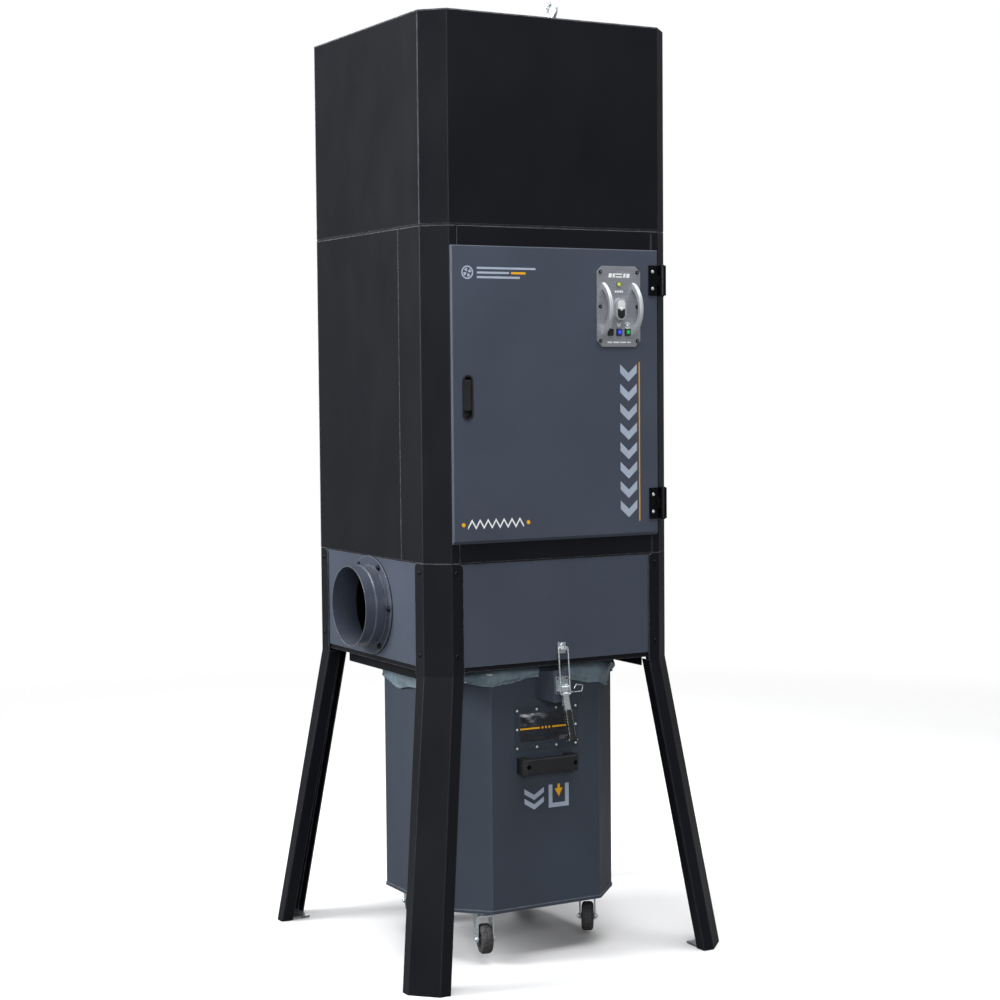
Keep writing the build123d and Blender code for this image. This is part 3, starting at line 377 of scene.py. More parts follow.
def dress_cad_nodes():
    """Give every CAD node the finish of its material slot, and the mixed nodes their own."""
    for part in RECORD["subparts"]:
        mesh = frame["nodes"][part["node"]].data
        mesh.materials.clear()
        mesh.materials.append(LOOKS[part["material_slot"]])
    zinc, slate = (ZINC, 1.0, 0.32), (SLATE, 0.0, 0.48)
    silver, lime = (linear(190, 194, 200), 0.4, 0.3), (linear(176, 188, 60), 0.0, 0.2)
    own = {
        "latch_mount": two_tone("latch_mount_finish", 1, LATCH_PLATE_BACK, zinc, slate),
        "button_bezel": two_tone("bezel_finish", 2, BEZEL_TOP, silver, lime),
        "filter_deck": galvanised("deck_sheet", painted_beyond=DECK_PAINT_EDGE),
        # The last colour of a powder coat is its edge colour, partly wear and partly a painted highlight.
        "bin_shell": powder_coat("bin_coat", linear(60, 68, 80), 0.47, linear(128, 134, 146)),
        "inlet_spigot": powder_coat("spigot_gloss_coat", SLATE, 0.27, linear(150, 156, 168), 0.6),
    }
    for node, material in own.items():
        frame["nodes"][node].data.materials[0] = material


# ---- Mesh building --------------------------------------------------------------------
def merged(*shapes):
    """Several (points, faces) shapes as one."""
    points, faces = [], []
    for more_points, more_faces in shapes:
        start = len(points)
        points += more_points
        faces += [tuple(start + i for i in face) for face in more_faces]
    return points, faces


def loft(rings, capped=True, looped=False):
    """Quads between equal rings of points, with the end rings filled unless the loft is looped."""
    count, last = len(rings[0]), len(rings) - 1
    faces = []
    for row in range(len(rings) if looped else last):
        here, there = row * count, (row + 1) % len(rings) * count
        pairs = [(i, (i + 1) % count) for i in range(count)]
        faces += [(here + i, here + j, there + j, there + i) for i, j in pairs]
    if capped and not looped:
        faces += [tuple(reversed(range(count))), tuple(range(last * count, (last + 1) * count))]
    return [point for ring in rings for point in ring], faces


def ring(at, axis, radius, along=0.0, steps=32, sides=0):
    """A ring of points about an axis, round or with flat sides."""
    turn = Vector(axis).to_track_quat("Z", "Y").to_matrix()
    points = []
    for step in range(steps):
        angle = 2 * math.pi * step / steps
        reach = radius
        if sides:
            part = 2 * math.pi / sides
            reach = radius * math.cos(part / 2) / math.cos(angle % part - part / 2)
        points.append(Vector(at) + turn @ Vector((reach * math.cos(angle), reach * math.sin(angle), along)))
    return points


def lathe(profile, at, axis, steps=32, looped=False):
    """Turn a profile of (radius, distance along the axis) pairs."""
    return loft([ring(at, axis, radius, along, steps) for radius, along in profile], looped=looped)


def rounded_rectangle(width, height, radius, steps=5):
    """Corner-rounded outline as (across, up) pairs, counter-clockwise."""
    outline = []
    for quarter, (x, y) in enumerate(((1, 1), (-1, 1), (-1, -1), (1, -1))):
        for step in range(steps + 1):
            angle = math.pi / 2 * (quarter + step / steps)
            outline.append((x * (width / 2 - radius) + radius * math.cos(angle),
                            y * (height / 2 - radius) + radius * math.sin(angle)))
    return outline


def build(name, body, surface, shape, slot=None, sharp=38, thickness=0.0, levels=0):
    """Make a piece from (points, faces) and let it ride on a body."""
    mesh = bpy.data.meshes.new(name)
    mesh.from_pydata(shape[0], [], shape[1])
    work = bmesh.new()
    work.from_mesh(mesh)
    bmesh.ops.recalc_face_normals(work, faces=work.faces)
    work.to_mesh(mesh)
    work.free()
    mesh.polygons.foreach_set("use_smooth", [True] * len(mesh.polygons))
    mesh.set_sharp_from_angle(angle=math.radians(sharp))
    mesh.materials.append(surface)
    piece = bpy.data.objects.new(name, mesh)
    bpy.context.scene.collection.objects.link(piece)
    if thickness:
        wall = piece.modifiers.new("wall", "SOLIDIFY")
        wall.thickness, wall.offset = thickness, 0.0
    if levels:
        piece.modifiers.new("smooth", "SUBSURF").render_levels = levels
        piece.modifiers["smooth"].levels = levels
    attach(piece, body)
    return piece


def dressed(name, body, slot, shape, **options):
    """A piece in the finish of one of the record's material slots."""
    return build(name, body, LOOKS[slot], shape, slot, **options)


# ---- Fasteners ------------------------------------------------------------------------
def screw(at, outward, radius, height, washer=0.0):
    """A socket button-head screw standing on a face, with a washer under it if wanted."""
    rows = ((0.5, -3), (0.5, 0), (1, 0), (1, 0.3), (0.95, 0.6), (0.8, 0.86))
    rings = [ring(at, outward, radius * share, washer + height * rise, 24) for share, rise in rows]
    rings.append(ring(at, outward, radius * 0.58, washer + height, 24))
    for along in (0.97, 0.45):
        rings.append(ring(at, outward, radius * 0.44, washer + height * along, 24, sides=6))
    head = loft(rings)
    if not washer:
        return head
    rim = [(radius * 1.35, 0), (radius * 1.35, 0.8 * washer), (radius * 1.28, washer), (radius * 0.6, washer)]
    return merged(head, lathe([(radius * 0.6, 0), *rim], at, outward, 24, looped=True))


def leg_screw_places():
    """Face position and outward direction of the sixteen leg screws."""
    for z in LEG_SCREW_Z:
        for sign in (-1, 1):
            for side in (-1, 1):
                yield (side * LEG_SCREW_X, sign * BODY_HALF, z), (0, sign, 0)
                yield (sign * BODY_HALF, side * LEG_SCREW_Y, z), (sign, 0, 0)


def make_fasteners():
    heads = [screw(at, way, 5.5 * MM, 3.2 * MM) for at, way in leg_screw_places()]
    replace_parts(dressed("leg_socket_screws", "frame", "black_oxide", merged(*heads)), "leg_screws")
    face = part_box("inlet_spigot")[1].x - 11 * MM
    bolts = []
    for step in range(6):
        angle = math.radians(60 * step)
        at = (face, -INLET_BOLTS * math.cos(angle), INLET_Z + INLET_BOLTS * math.sin(angle))
        bolts.append(screw(at, (-1, 0, 0), 6 * MM, 4 * MM, 1.2 * MM))
    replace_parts(dressed("inlet_socket_bolts", "frame", "black_oxide", merged(*bolts)), "inlet_bolts")
    panel = [(PLATE_CENTRE[0] + x, PLATE_CENTRE[1] + z) for x in PLATE_SCREW_X for z in PLATE_SCREW_Z]
    caps = [screw((x * MM, PLATE_FACE, z * MM), (0, -1, 0), 4.8 * MM, 3.3 * MM) for x, z in panel]
    dressed("plate_screw_heads", "door", "black_oxide", merged(*caps))
    leaf = DOOR_FACE - 4 * MM
    x = HINGE_SCREW_X * MM
    hinge = [screw((x, leaf, z * MM), (0, -1, 0), 4.2 * MM, 2.2 * MM) for z in HINGE_SCREW_Z]
    dressed("hinge_screws", "door", "zinc", merged(*hinge))
    seat, z = BIN_FRONT - 12 * MM, HANDLE_SCREW_Z * MM
    grip = [screw((x * MM, seat, z), (0, -1, 0), 4.6 * MM, 3 * MM) for x in HANDLE_SCREW_X]
    dressed("handle_screws", "bin", "zinc", merged(*grip))
    corners = [(LATCH_X + x, z) for x in LATCH_SCREW_X for z in LATCH_SCREW_Z]
    rivets = [screw((x * MM, -BODY_HALF, z * MM), (0, -1, 0), 2.3 * MM, 1.2 * MM) for x, z in corners]
    dressed("latch_plate_rivets", "bin", "black_oxide", merged(*rivets))
    caps = []
    dome = [(5.2, -0.4), (5.2, 0.8), (4.6, 1.9), (2.8, 2.7), (0.6, 2.9)]
    for z, way in HINGE_ENDS:
        at = (HINGE_AXIS[0] * MM, HINGE_AXIS[1] * MM, z * MM)
        caps.append(lathe([(r * MM, a * MM) for r, a in dome], at, (0, 0, way), 24))
    dressed("hinge_pin_heads", "frame", "black_oxide", merged(*caps))


def body_ring(z_low, z_high, outer, inner):
    """A flat strip following the eight-sided cabinet wall, from outer to inner below its surface."""
    rings = []
    for z, inset in ((z_low, outer), (z_high, outer), (z_high, inner), (z_low, inner)):
        half, corner = BODY_HALF - inset, BODY_CORNER - 0.586 * inset
        outline = []
        for side in range(4):
            turn = Matrix.Rotation(math.pi / 2 * side, 2)
            outline += [turn @ Vector((corner - half, -half)), turn @ Vector((half - corner, -half))]
        rings.append([Vector((*point, z)) for point in outline])
    return loft(rings, looped=True)


def make_seals_and_rear_screws():
    """Sealing strips at the two seams of the cabinet, and the screws that hold the back covers."""
    seals = [body_ring(z - 0.0018, z + 0.0022, 2.2 * MM, 16 * MM) for z in (Z_DECK, Z_SILL)]
    dressed("seam_seals", "frame", "seal_rubber", merged(*seals))
    heads = []
    for x in BACK_SCREW_X:
        for z in BACK_SCREW_Z:
            heads.append(screw((x, BODY_HALF, z), (0, 1, 0), 5 * MM, 2.8 * MM))
    dressed("back_cover_screws", "frame", "black_oxide", merged(*heads))


# ---- Filter cartridge -----------------------------------------------------------------
def make_filter():
    low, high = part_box("filter_cartridge")
    centre = (low + high) / 2
    pleats, rows = 128, 16
    outer, inner = 164.2 * MM, 127 * MM
    rings = []
    for row in range(rows + 1):
        z = low.z + (high.z - low.z) * row / rows
        line = []
        for step in range(pleats * 4):
            angle = 2 * math.pi * (step + 0.22 * math.sin(row * 0.9 + step // 4)) / (pleats * 4)
            radius = outer if step % 4 < 2 else inner
            line.append(Vector((centre.x + radius * math.cos(angle), centre.y + radius * math.sin(angle), z)))
        rings.append(line)
    folds = loft(rings, capped=False)
    media = dressed("filter_pleats", "frame", "filter_media", folds, sharp=80, thickness=0.5 * MM)
    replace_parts(media, "filter_cartridge")
    beads, turns = [], [math.pi * step / 4 for step in range(8)]
    section = [(outer + (0.4 + 1.3 * math.cos(a)) * MM, 3.0 * MM * math.sin(a)) for a in turns]
    for share in (0.2, 0.4, 0.6, 0.8):
        at = (centre.x, centre.y, low.z + (high.z - low.z) * share)
        beads.append(lathe(section, at, (0, 0, 1), 96, looped=True))
    dressed("filter_bands", "frame", "white_plastic", merged(*beads), sharp=80)


# ---- Liner bag ------------------------------------------------------------------------
BAG_CENTRE_Y = (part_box("bin_shell")[0].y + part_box("bin_shell")[1].y) / 2
BAG_HALF, BAG_CORNER = 250 * MM, 93 * MM
BAG_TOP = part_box("liner_bag")[1].z
BAG_FLOOR, BAG_WALL, SKIRT_TOP = 0.1345, (0.140, 0.733), BAG_TOP - 4.5 * MM

# Over the latch block the skirt lies on a shelf: half its width, its height, and where the film rests
SHELF_HALF, SHELF_Z, SHELF_FILM_Z = 34 * MM, 0.7365, 0.7368


def bin_outline(share, grow):
    """Point and outward direction on the bin's eight-sided outline, its corners softened, grown by grow."""
    half, corner = BAG_HALF + grow, BAG_CORNER + 0.586 * grow
    flat, slant = 2 * (half - corner), math.sqrt(2) * corner
    travel = (share % 1.0) * 4 * (flat + slant)
    side, rest = divmod(travel, flat + slant)
    turn = Matrix.Rotation(math.pi / 2 * side, 2)
    if rest < flat:
        point, normal = Vector((-flat / 2 + rest, -half)), Vector((0, -1))
    else:
        along = (rest - flat) / slant
        point = Vector((flat / 2 + along * corner, -half + along * corner))
        normal = Vector((1, -1)).normalized()
    return turn @ point + Vector((0, BAG_CENTRE_Y)), turn @ normal


def smooth_outline(share, grow):
    """The outline averaged over a short stretch, so that film rounds the corners."""
    point, normal = Vector((0, 0)), Vector((0, 0))
    for step in range(-3, 4):
        p, n = bin_outline(share + step * 0.0035, grow)
        point, normal = point + p / 7, normal + n / 7
    return point, normal.normalized()


# Height of the hem in mm at shares of the way round, from the left end of the front face to the right
HEM = ((0.0, 696), (0.020, 700), (0.076, 714), (0.168, 686), (0.190, 673), (0.212, 694), (0.228, 712),
       (0.246, 694), (0.300, 671), (0.380, 690), (0.450, 680), (0.520, 702), (0.600, 688), (0.680, 700),
       (0.750, 684), (0.800, 662), (0.860, 676), (0.915, 660), (0.946, 708), (1.0, 696))


def bag_hem(share):
    """Height of the hem round the bin: it hangs unevenly."""
    share %= 1.0
    for (start, first), (stop, second) in zip(HEM, HEM[1:]):
        if start <= share <= stop:
            part = (share - start) / (stop - start)
            part = part * part * (3 - 2 * part)
            wave = 2 * MM * noise.noise(Vector((share * 60, 3.1, 0.7)))
            return (first + (second - first) * part) * MM + wave
    return HEM[0][1] * MM


def make_bag():
    """The liner: bottom, inside wall, roll over the rim, and the gathered skirt outside."""
    around, wall_rows, skirt_rows, rings = 480, 25, 26, []
    inside = -5.5 * MM
    centre = Vector((0, BAG_CENTRE_Y))
    for share in (0.04, 0.3, 0.6, 0.85, 0.96):
        line = []
        for step in range(around):
            point, _ = smooth_outline(step / around, inside)
            place = centre + (point - centre) * share
            lift = 5 * MM * abs(noise.noise(Vector((place.x * 14, place.y * 14, 0))))
            line.append(Vector((place.x, place.y, BAG_FLOOR + lift)))
        rings.append(line)
    for row in range(wall_rows + 1):
        rise = row / wall_rows
        line = []
        for step in range(around):
            point, normal = smooth_outline(step / around, inside)
            ripple = noise.noise(Vector((point.x * 22, point.y * 22, rise * 3.2)))
            ripple += noise.noise(Vector((point.x * 60, point.y * 60, rise * 9)))
            pull = -(2.2 + 2.2 * ripple) * MM * min(1.0, 6 * (1 - rise) + 0.15)
            height = BAG_WALL[0] + (BAG_WALL[1] - BAG_WALL[0]) * rise
            line.append(Vector((*(point + normal * pull), height)))
        rings.append(line)
    roll = ((-4.6, -3.5), (-2.6, -1.2), (1.0, -0.6), (4.8, -1.0), (7.6, -3.2))
    for out, down in roll:
        line = []
        for step in range(around):
            point, normal = smooth_outline(step / around, 0)
            line.append(Vector((*(point + normal * out * MM), BAG_TOP + down * MM)))
        rings.append(line)
    for row in range(1, skirt_rows + 1):
        fall = row / skirt_rows
        line = []
        for step in range(around):
            share = step / around
            point, normal = smooth_outline(share, 0)
            z = SKIRT_TOP - (SKIRT_TOP - bag_hem(share)) * fall
            lean = share * 64 + 1.4 * fall * math.sin(share * 40)
            pleat = 1 - abs(2 * ((lean + 0.8 * noise.noise(Vector((share * 30, 5, 1)))) % 1.0) - 1)
            puff = noise.noise(Vector((point.x * 9, point.y * 9, z * 16)))
            crease = abs(noise.noise(Vector((point.x * 26 + z * 16, point.y * 26, z * 34))))
            swell = 5.5 * math.sin(math.pi * min(1.0, fall * 1.15))
            fold = 2.2 * math.sin(2 * math.pi * (fall * 1.5 + 0.35 * math.sin(share * 57)))
            out = 8.2 + swell + fold * fall + 2.6 * puff + 3.4 * (pleat - 0.5) * fall - 3.0 * crease
            side = max(0.0, (normal.x - 0.6) / 0.4)
            out += side * fall * (8.5 + 3.0 * math.sin(share * 70))
            out = max(4.6, min(out, 19.5))
            shelf = abs(point.x - LATCH_X * MM) < SHELF_HALF and point.y < BAG_CENTRE_Y
            if shelf and z < SHELF_Z:
                z = max(z, SHELF_FILM_Z + 0.8 * MM * noise.noise(Vector((share * 90, 0, 0))))
                out = 7.8 + 0.6 * fall
            line.append(Vector((*(point + normal * out * MM), z)))
        rings.append(line)
    shape = loft(rings, capped=False)
    bag = dressed("liner_film", "bin", "film", shape, sharp=60, thickness=0.15 * MM)
    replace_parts(bag, "liner_bag")


# ---- Window ---------------------------------------------------------------------------
def make_window():
    """The clear sheet, slightly rippled between its rivets, and the rivets' domed heads; the printed level line on
    it is made with the marks.
    """
    low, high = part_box("window_pane")
    columns, rows = 66, 40
    width, height = high.x - low.x, high.z - low.z
    points, faces = [], []
    for row in range(rows + 1):
        for column in range(columns + 1):
            x, z = low.x + width * column / columns, low.z + height * row / rows
            away = min(x - low.x, high.x - x, z - low.z, high.z - z) / (20 * MM)
            ripple = noise.noise(Vector((x * 40, z * 55, 2.0)))
            ripple += 0.6 * noise.noise(Vector((x * 90, z * 120, 4.0)))
            points.append(Vector((x, (low.y + high.y) / 2 - 0.7 * MM * ripple * min(1.0, away), z)))
    for row in range(rows):
        for column in range(columns):
            corner = row * (columns + 1) + column
            faces.append((corner, corner + 1, corner + columns + 2, corner + columns + 1))
    pane = dressed("window_film", "bin", "clear_sheet", (points, faces), sharp=60, thickness=0.6 * MM)
    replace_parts(pane, "window_pane")
    dome = [(3.1, 0), (3.1, 0.5), (2.8, 1.2), (2.0, 1.8), (0.9, 2.1), (0.2, 2.15)]
    places = [(x, z) for x in RIVET_X for z in (RIVET_Z[0], RIVET_Z[2])]
    places += [(x, RIVET_Z[1]) for x in (RIVET_X[0], RIVET_X[3])]
    dome = [(radius * MM, along * MM) for radius, along in dome]
    heads = [lathe(dome, (x * MM, low.y, z * MM), (0, -1, 0), 24) for x, z in places]
    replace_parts(dressed("window_rivet_domes", "bin", "white_plastic", merged(*heads)), "window_rivets")


# ---- Casters --------------------------------------------------------------------------
def make_casters():
    """Tread, moulded wheel centre, axle nuts and ball race of each caster."""
    tread = [(22.5, -14), (24, -15), (29.5, -15), (33.6, -13.6), (36.2, -10.6), (37.3, -6.5), (37.5, -0.5)]
    tread = tread + [(37.2, 0.0)] + [(r, -a) for r, a in reversed(tread)]
    rim = [(22.7, -11.5), (22.7, -13.6), (20.8, -13.6), (19.6, -11.2), (13.5, -10.6)]
    rim += [(11.6, -14.2), (9.6, -16.6), (4.1, -16.9)]
    rim = rim + [(r, -a) for r, a in reversed(rim)]
    race = [(24.6, 124.2), (25.4, 122.4), (25.4, 121.0), (23.6, 119.6), (12.0, 119.6), (12.0, 124.2)]
    for corner in CORNERS:
        wheel = JOINTS["spin_" + corner]
        hub, axle = Vector(wheel["pos_m"]), Vector(wheel["axis"])
        body = "wheel_" + corner
        tyre = dressed("tread_" + corner, body, "wheel_rubber",
                       lathe([(r * MM, a * MM) for r, a in tread], hub, axle, 64, looped=True))
        centre = dressed("wheel_centre_" + corner, body, "black_plastic",
                         lathe([(r * MM, a * MM) for r, a in rim], hub, axle, 48, looped=True))
        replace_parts(tyre, "caster_wheel_" + corner)
        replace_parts(centre, "caster_wheel_" + corner)
        pivot = JOINTS["swivel_" + corner]["pos_m"]
        section = [(r * MM, (a - 120) * MM) for r, a in race]
        ball = lathe(section, (pivot[0], pivot[1], 0.120), (0, 0, 1), 48, looped=True)
        nuts = []
        for side in (-1, 1):
            rows = ((6.2, 20.4), (6.2, 24.2), (5.4, 24.9), (3.2, 24.9), (3.2, 26.4), (2.4, 27.0))
            rings = [ring(hub, axle * side, r * MM, a * MM, 24, 6 if r > 5 else 0) for r, a in rows]
            nuts.append(loft(rings))
        dressed("caster_fittings_" + corner, "caster_" + corner, "zinc", merged(ball, *nuts))


# ---- Bin latch ------------------------------------------------------------------------
def make_latch():
    """Moulded grip over the lever's lower half, and the thread and nut of the adjusting rod."""
    pivot = Vector(JOINTS["latch_lever_swing"]["pos_m"])
    along = Vector(LATCH_LEVER_RUN).normalized()
    across = Vector((1, 0, 0))
    out = along.cross(across)
    rows = ((53.6, 15.5, 8.8), (54.2, 17.6, 10.6), (60, 18.2, 11.4), (75, 17.4, 11.0), (95, 17.8, 11.6))
    rows += ((115, 18.0, 11.8), (123, 19.4, 12.0), (126.2, 25.2, 12.7), (131.4, 26.0, 12.9))
    rows += ((132.6, 24.6, 11.6),)
    rings = []
    for distance, width, depth in rows:
        outline = rounded_rectangle(width * MM, depth * MM, 3.2 * MM)
        rings.append([pivot + along * distance * MM + across * a + out * b for a, b in outline])
    ribs = []
    for step in range(7):
        distance = 66 + 7 * step
        outline = [rounded_rectangle(w * MM, 12.6 * MM, 3.2 * MM) for w in (17.6, 18.8, 18.8, 17.6)]
        lines = []
        for shift, line in zip((-1.3, -0.6, 0.6, 1.3), outline):
            lines.append([pivot + along * (distance + shift) * MM + across * a + out * b for a, b in line])
        ribs.append(loft(lines))
    dressed("latch_grip", "latch_lever", "black_plastic", merged(loft(rings), *ribs), sharp=30)
    thread = [(1.0, -1)]
    for step in range(29):
        thread += [(2.45, step), (2.95, step + 0.5)]
    thread += [(2.45, 29), (1.0, 29.6)]
    foot = Vector((LATCH_X, *LATCH_ROD_FOOT)) * MM
    rod = lathe([(r * MM, a * MM) for r, a in thread], foot, (0, 0, 1), 24)
    rows = ((2.6, 0), (5.2, 0), (5.8, 0.7), (5.8, 3.6), (5.2, 4.3), (2.6, 4.3))
    nut = loft([ring(foot, (0, 0, 1), r * MM, (24 + a) * MM, 24, 6) for r, a in rows], looped=True)
    dressed("latch_thread", "bin", "zinc", merged(rod, nut), sharp=25)


# ---- Control panel --------------------------------------------------------------------
def key_rings(x, rows, radius):
    """Rounded rectangles (distance from the plate face, width, height) stacked about a key's middle."""
    rings = []
    for y, width, height in rows:
        outline = rounded_rectangle(width * MM, height * MM, radius * MM)
        rings.append([Vector((x * MM + a, PLATE_FACE + y * MM, KEY_Z * MM + b)) for a, b in outline])
    return rings


def plate_dome(x, z, profile, looped=False):
    """A turned shape standing on the plate, its profile in mm."""
    at = (x * MM, PLATE_FACE, z * MM)
    return lathe([(r * MM, a * MM) for r, a in profile], at, (0, -1, 0), 32, looped=looped)


def make_keys():
    """Three square keys with dished caps, two of them lit, and the two small lamps above them."""
    caps = {"blue_lens": lens("blue_cap", linear(36, 40, 140), 0.35),
            "green_lens": lens("green_cap", linear(8, 84, 40), 0.25)}
    cap_rows = ((8, 13, 15), (6, 15, 17), (-3.2, 15, 17), (-4.3, 14, 16), (-4.5, 12.6, 14.6))
    cap_rows += ((-3.9, 10.6, 12.6),)
    lit_rows = ((-3.6, 11.6, 13.6), (-4.35, 11.6, 13.6), (-4.6, 10.4, 12.4))
    lamps = {"mode_key": None, "clean_key": "blue_lens", "power_key": "green_lens"}
    for x, (name, lamp) in zip(KEY_X, lamps.items()):
        cap = dressed(name + "_cap", name, "black_plastic", loft(key_rings(x, cap_rows, 1.6)), sharp=50)
        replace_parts(cap, name)
        if lamp:
            build(name + "_window", name, caps[lamp], loft(key_rings(x, lit_rows, 1.4)), lamp, sharp=50)
            dome = [(4.3, 4.5), (4.2, 4.9), (3.2, 5.3), (1.6, 5.5), (0.3, 5.55)]
            dressed(name + "_lamp", name, lamp, plate_dome(x, KEY_Z, dome))
    dome = [(4.6, 9), (4.6, 13.2), (4.1, 14.2), (2.6, 15.0), (0.4, 15.3)]
    dressed("pill_lamp", "door", "white_plastic", plate_dome(PLATE_CENTRE[0], PILL_Z, dome))
    seat = [(3.9, -1), (6.4, -1), (6.4, 1.3), (5.6, 2.0), (4.2, 1.4)]
    bead = [(4.2, 2.0), (3.6, 2.3), (2.2, 3.2), (0.5, 3.5)]
    bezel = plate_dome(PLATE_CENTRE[0], INDICATOR_Z, seat, looped=True)
    dressed("indicator_bezel", "door", "black_plastic", bezel)
    lime = lens("lime_lens", linear(184, 196, 70), 0.5)
    build("indicator_lamp", "door", lime, plate_dome(PLATE_CENTRE[0], INDICATOR_Z, bead))


# ---- Marks: plain pictograms, no lettering --------------------------------------------
def slab(outline, face, lift=0.25):
    """An (x, z) outline in mm as a thin layer standing on a face that looks towards -Y."""
    return loft([[Vector((x * MM, face - out * MM, z * MM)) for x, z in outline] for out in (0.0, lift)])


def bar(x_low, x_high, z_low, z_high, slant=0.0):
    return [(x_low, z_low), (x_high, z_low), (x_high + slant, z_high), (x_low + slant, z_high)]


def chevron(x_low, x_high, z_tip, rise, weight):
    """A V-shaped stroke whose tip is at z_tip and whose arms rise by rise."""
    middle = (x_low + x_high) / 2
    return [(x_low, z_tip + rise), (middle, z_tip), (x_high, z_tip + rise), (x_high, z_tip + rise + weight),
            (middle, z_tip + weight), (x_low, z_tip + rise + weight)]


def arc_band(x, z, outer, inner, start, stop, steps=14):
    """Part of a flat ring, angles in degrees."""
    angles = [math.radians(start + (stop - start) * k / steps) for k in range(steps + 1)]
    edge = [(x + outer * math.cos(a), z + outer * math.sin(a)) for a in angles]
    return edge + [(x + inner * math.cos(a), z + inner * math.sin(a)) for a in reversed(angles)]


def zigzag(x_low, x_high, z_low, z_high, teeth, weight):
    """A folded line, as a pleated filter is drawn."""
    step = (x_high - x_low) / teeth
    tops = [(x_low + step * k / 2, z_high - weight if k % 2 else z_low) for k in range(2 * teeth + 1)]
    return tops + [(x, z + weight) for x, z in reversed(tops)]


def mark(name, body, ink, face, outlines):
    build(name, body, INK[ink], merged(*[slab(outline, face) for outline in outlines]), sharp=20)


def make_marks():
    fan_place = (-254, 1708.5)
    fan = [arc_band(*fan_place, 16, 12.6, start, start + 178) for start in (0, 180)]
    for turn in range(4):
        fan.append(arc_band(*fan_place, 10.5, 3.0, 90 * turn, 90 * turn + 52, 6))
    streams = [bar(-228, -66, 1717, 1722), bar(-228, -140, 1706, 1711), bar(-228, -110, 1695, 1700)]
    mark("door_mark_fan", "door", "pale", DOOR_FACE, fan + streams)
    mark("door_mark_accent", "door", "amber", DOOR_FACE, [bar(-134, -94, 1706, 1711)])
    stack = [chevron(176, 225, 1106 + 48.5 * step, 22, 21) for step in range(8)]
    mark("door_column", "door", "pale", DOOR_FACE, stack)
    mark("door_line", "door", "amber", DOOR_FACE, [bar(231.2, 233.8, 1096, 1494)])
    mark("door_filter_mark", "door", "white", DOOR_FACE, [zigzag(-258, -104, 1094, 1119, 7, 6.5)])
    dots = [arc_band(x, 1106, 5, 0.1, start, start + 180) for x in (-270, -91) for start in (0, 180)]
    mark("door_filter_dots", "door", "amber", DOOR_FACE, dots)
    drop = [chevron(-64, -8, 378 + 24 * step, 17, 13) for step in range(2)]
    tray = [bar(6, 17, 378, 436), bar(54, 65, 378, 436), bar(17, 54, 378, 389)]
    mark("bin_mark", "bin", "pale", BIN_FRONT, drop + tray)
    arrow = [[(24, 425), (35.5, 404), (47, 425)], bar(32, 39, 425, 436)]
    mark("bin_mark_accent", "bin", "amber", BIN_FRONT, arrow)
    plate = [bar(low, high, 1703, 1713, 2) for low, high in ((140, 149), (152, 158), (183, 189), (192, 201))]
    plate += [bar(161, 180, 1710, 1713), bar(161, 180, 1703, 1706)]
    plate += [bar(159 + 5 * k, 162 + 5 * k, 1666, 1671) for k in range(5)]
    plate += [bar(144, 147, 1580, 1590), bar(141.5, 149.5, 1587, 1590)]
    plate += [chevron(165, 176, 1581, 4, 2.4), chevron(165, 176, 1585.5, 4, 2.4)]
    plate += [arc_band(195.5, 1585, 8, 6.3, start, start + 120) for start in (30, 210)]
    plate += [arc_band(195.5, 1585.5, 3.2, 0.1, start, start + 180, 6) for start in (0, 180)]
    plate += [bar(137 + 3.4 * k, 139.6 + 3.4 * k, 1541.4, 1544.8) for k in range(20) if k % 6 != 4]
    mark("plate_marks", "door", "white", PLATE_FACE, plate)
    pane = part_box("window_pane")[0].y
    level = [bar(-76, -20, 581.6, 585.8), bar(16, 72, 581.6, 585.8)]
    level += [[(x - 3.6, 583.7), (x, 579.6), (x + 3.6, 583.7), (x, 587.8)] for x in (-12, -2, 8)]
    mark("level_line", "bin", "amber", pane - 0.5 * MM, level)


# ---- Studio ---------------------------------------------------------------------------
def look_at(thing, target):
    thing.rotation_euler = (Vector(target) - thing.location).to_track_quat("-Z", "Y").to_euler()


def soft_light(name, place, target, size, power):
    """A rectangular lamp, its size in metres and its power in watts."""
    data = bpy.data.lights.new(name, "AREA")
    data.shape, data.size, data.size_y, data.energy = "RECTANGLE", size[0], size[1], power
    light = bpy.data.objects.new(name, data)
    light.location = place
    bpy.context.scene.collection.objects.link(light)
    look_at(light, target)


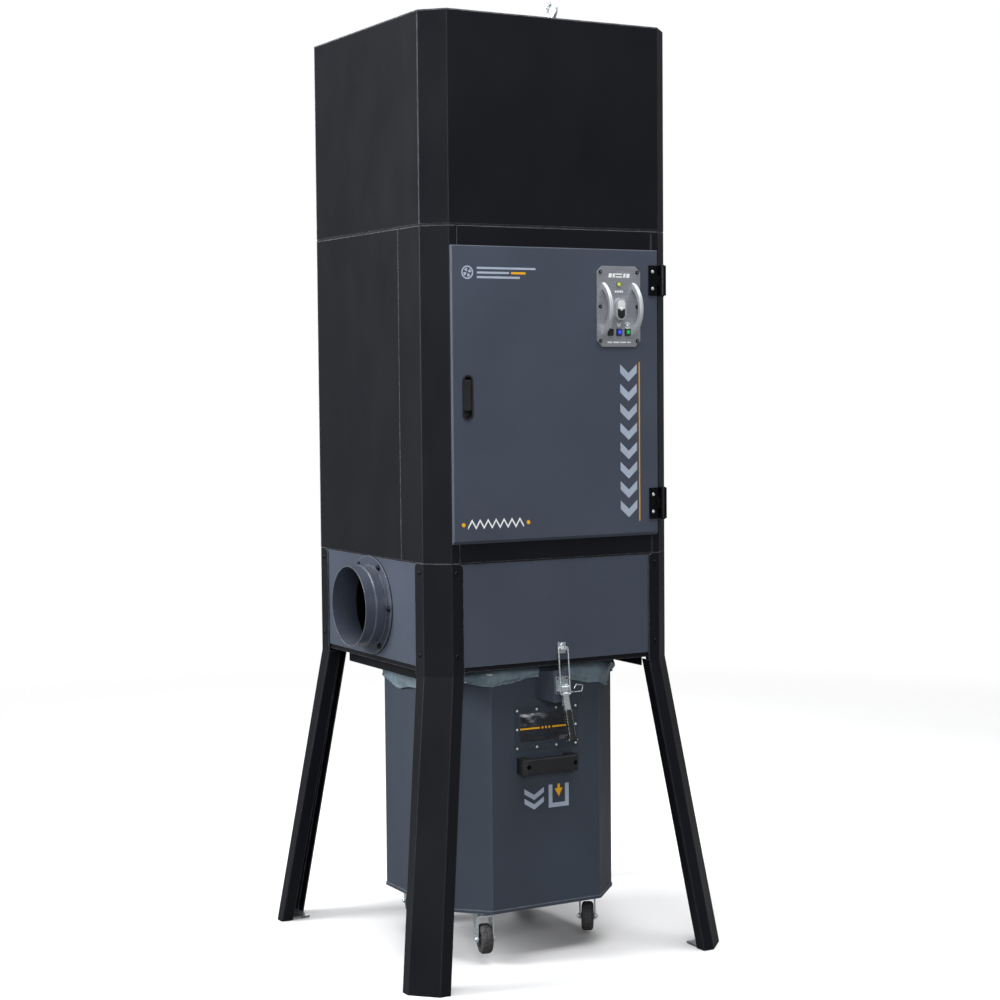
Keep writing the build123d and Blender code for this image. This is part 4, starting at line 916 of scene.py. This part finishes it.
def studio_floor():
    """A pale floor that fades into the backdrop away from the machine."""
    s = Surface("pale_floor", Roughness=0.8)
    pale = s.blend(s.spread(s.noise(1.4, 5.0), 0.0, 1.0), linear(236, 237, 239), linear(242, 242, 243))
    seen = s.node("ShaderNodeLightPath").outputs["Is Camera Ray"]
    s.give("Base Color", s.blend(seen, linear(120, 121, 122), pale))
    s.give("Normal", s.bump(s.noise(240, 3.0), 0.08 * MM))
    distance = s.node("ShaderNodeVectorMath", {0: s.place}, operation="LENGTH").outputs["Value"]
    s.give("Alpha", s.spread(distance, 1.0, 0.0, 1.6, 5.0))
    half = 8.0
    mesh = bpy.data.meshes.new("studio_floor")
    corners = [(-half, -half, 0), (half, -half, 0), (half, half, 0), (-half, half, 0)]
    mesh.from_pydata(corners, [], [(0, 1, 2, 3)])
    mesh.materials.append(s.material)
    floor = bpy.data.objects.new("studio_floor", mesh)
    bpy.context.scene.collection.objects.link(floor)


def make_studio():
    scene = bpy.context.scene
    studio_floor()
    world = bpy.data.worlds.new("studio")
    world.use_nodes = True
    tree = world.node_tree
    seen = tree.nodes.new("ShaderNodeLightPath").outputs["Is Camera Ray"]
    strength = tree.nodes.new("ShaderNodeMapRange")
    strength.inputs["To Min"].default_value, strength.inputs["To Max"].default_value = 0.16, 1.0
    tree.links.new(seen, strength.inputs["Value"])
    tree.links.new(strength.outputs[0], tree.nodes["Background"].inputs["Strength"])
    tree.nodes["Background"].inputs["Color"].default_value = (1.0, 1.0, 1.0, 1)
    scene.world = world
    scene.view_settings.view_transform = "Standard"
    soft_light("overhead", (0, -0.6, 5.2), (0, 0, 0), (4.5, 4.5), 380)
    soft_light("key_left", (-4.3, 1.2, 2.6), (0, 0, 1.4), (1.6, 2.2), 250)
    soft_light("fill_front", (-2.2, -5.4, 2.6), (0, 0, 1.6), (2.0, 1.6), 115)
    soft_light("rim_back", (1.6, 4.6, 3.2), (0, 0, 1.4), (2.0, 2.0), 90)
    camera_data = bpy.data.cameras.new("camera")
    camera_data.lens, camera_data.sensor_width = CAMERA_LENS, 36.0
    camera = bpy.data.objects.new("camera", camera_data)
    yaw, pitch, roll = (math.radians(angle) for angle in CAMERA_ANGLES)
    ahead = Vector((-math.sin(yaw) * math.cos(pitch), math.cos(yaw) * math.cos(pitch), math.sin(pitch)))
    right = Vector((math.cos(yaw), math.sin(yaw), 0))
    up = right.cross(ahead)
    level_right = right * math.cos(roll) + up * math.sin(roll)
    level_up = up * math.cos(roll) - right * math.sin(roll)
    turn = Matrix((level_right, level_up, -ahead)).transposed().to_4x4()
    camera.matrix_world = Matrix.Translation(CAMERA_PLACE) @ turn
    scene.collection.objects.link(camera)
    scene.camera = camera


make_studio()
dress_cad_nodes()
make_fasteners()
make_seals_and_rear_screws()
make_filter()
make_bag()
make_window()
make_casters()
make_latch()
make_keys()
make_marks()
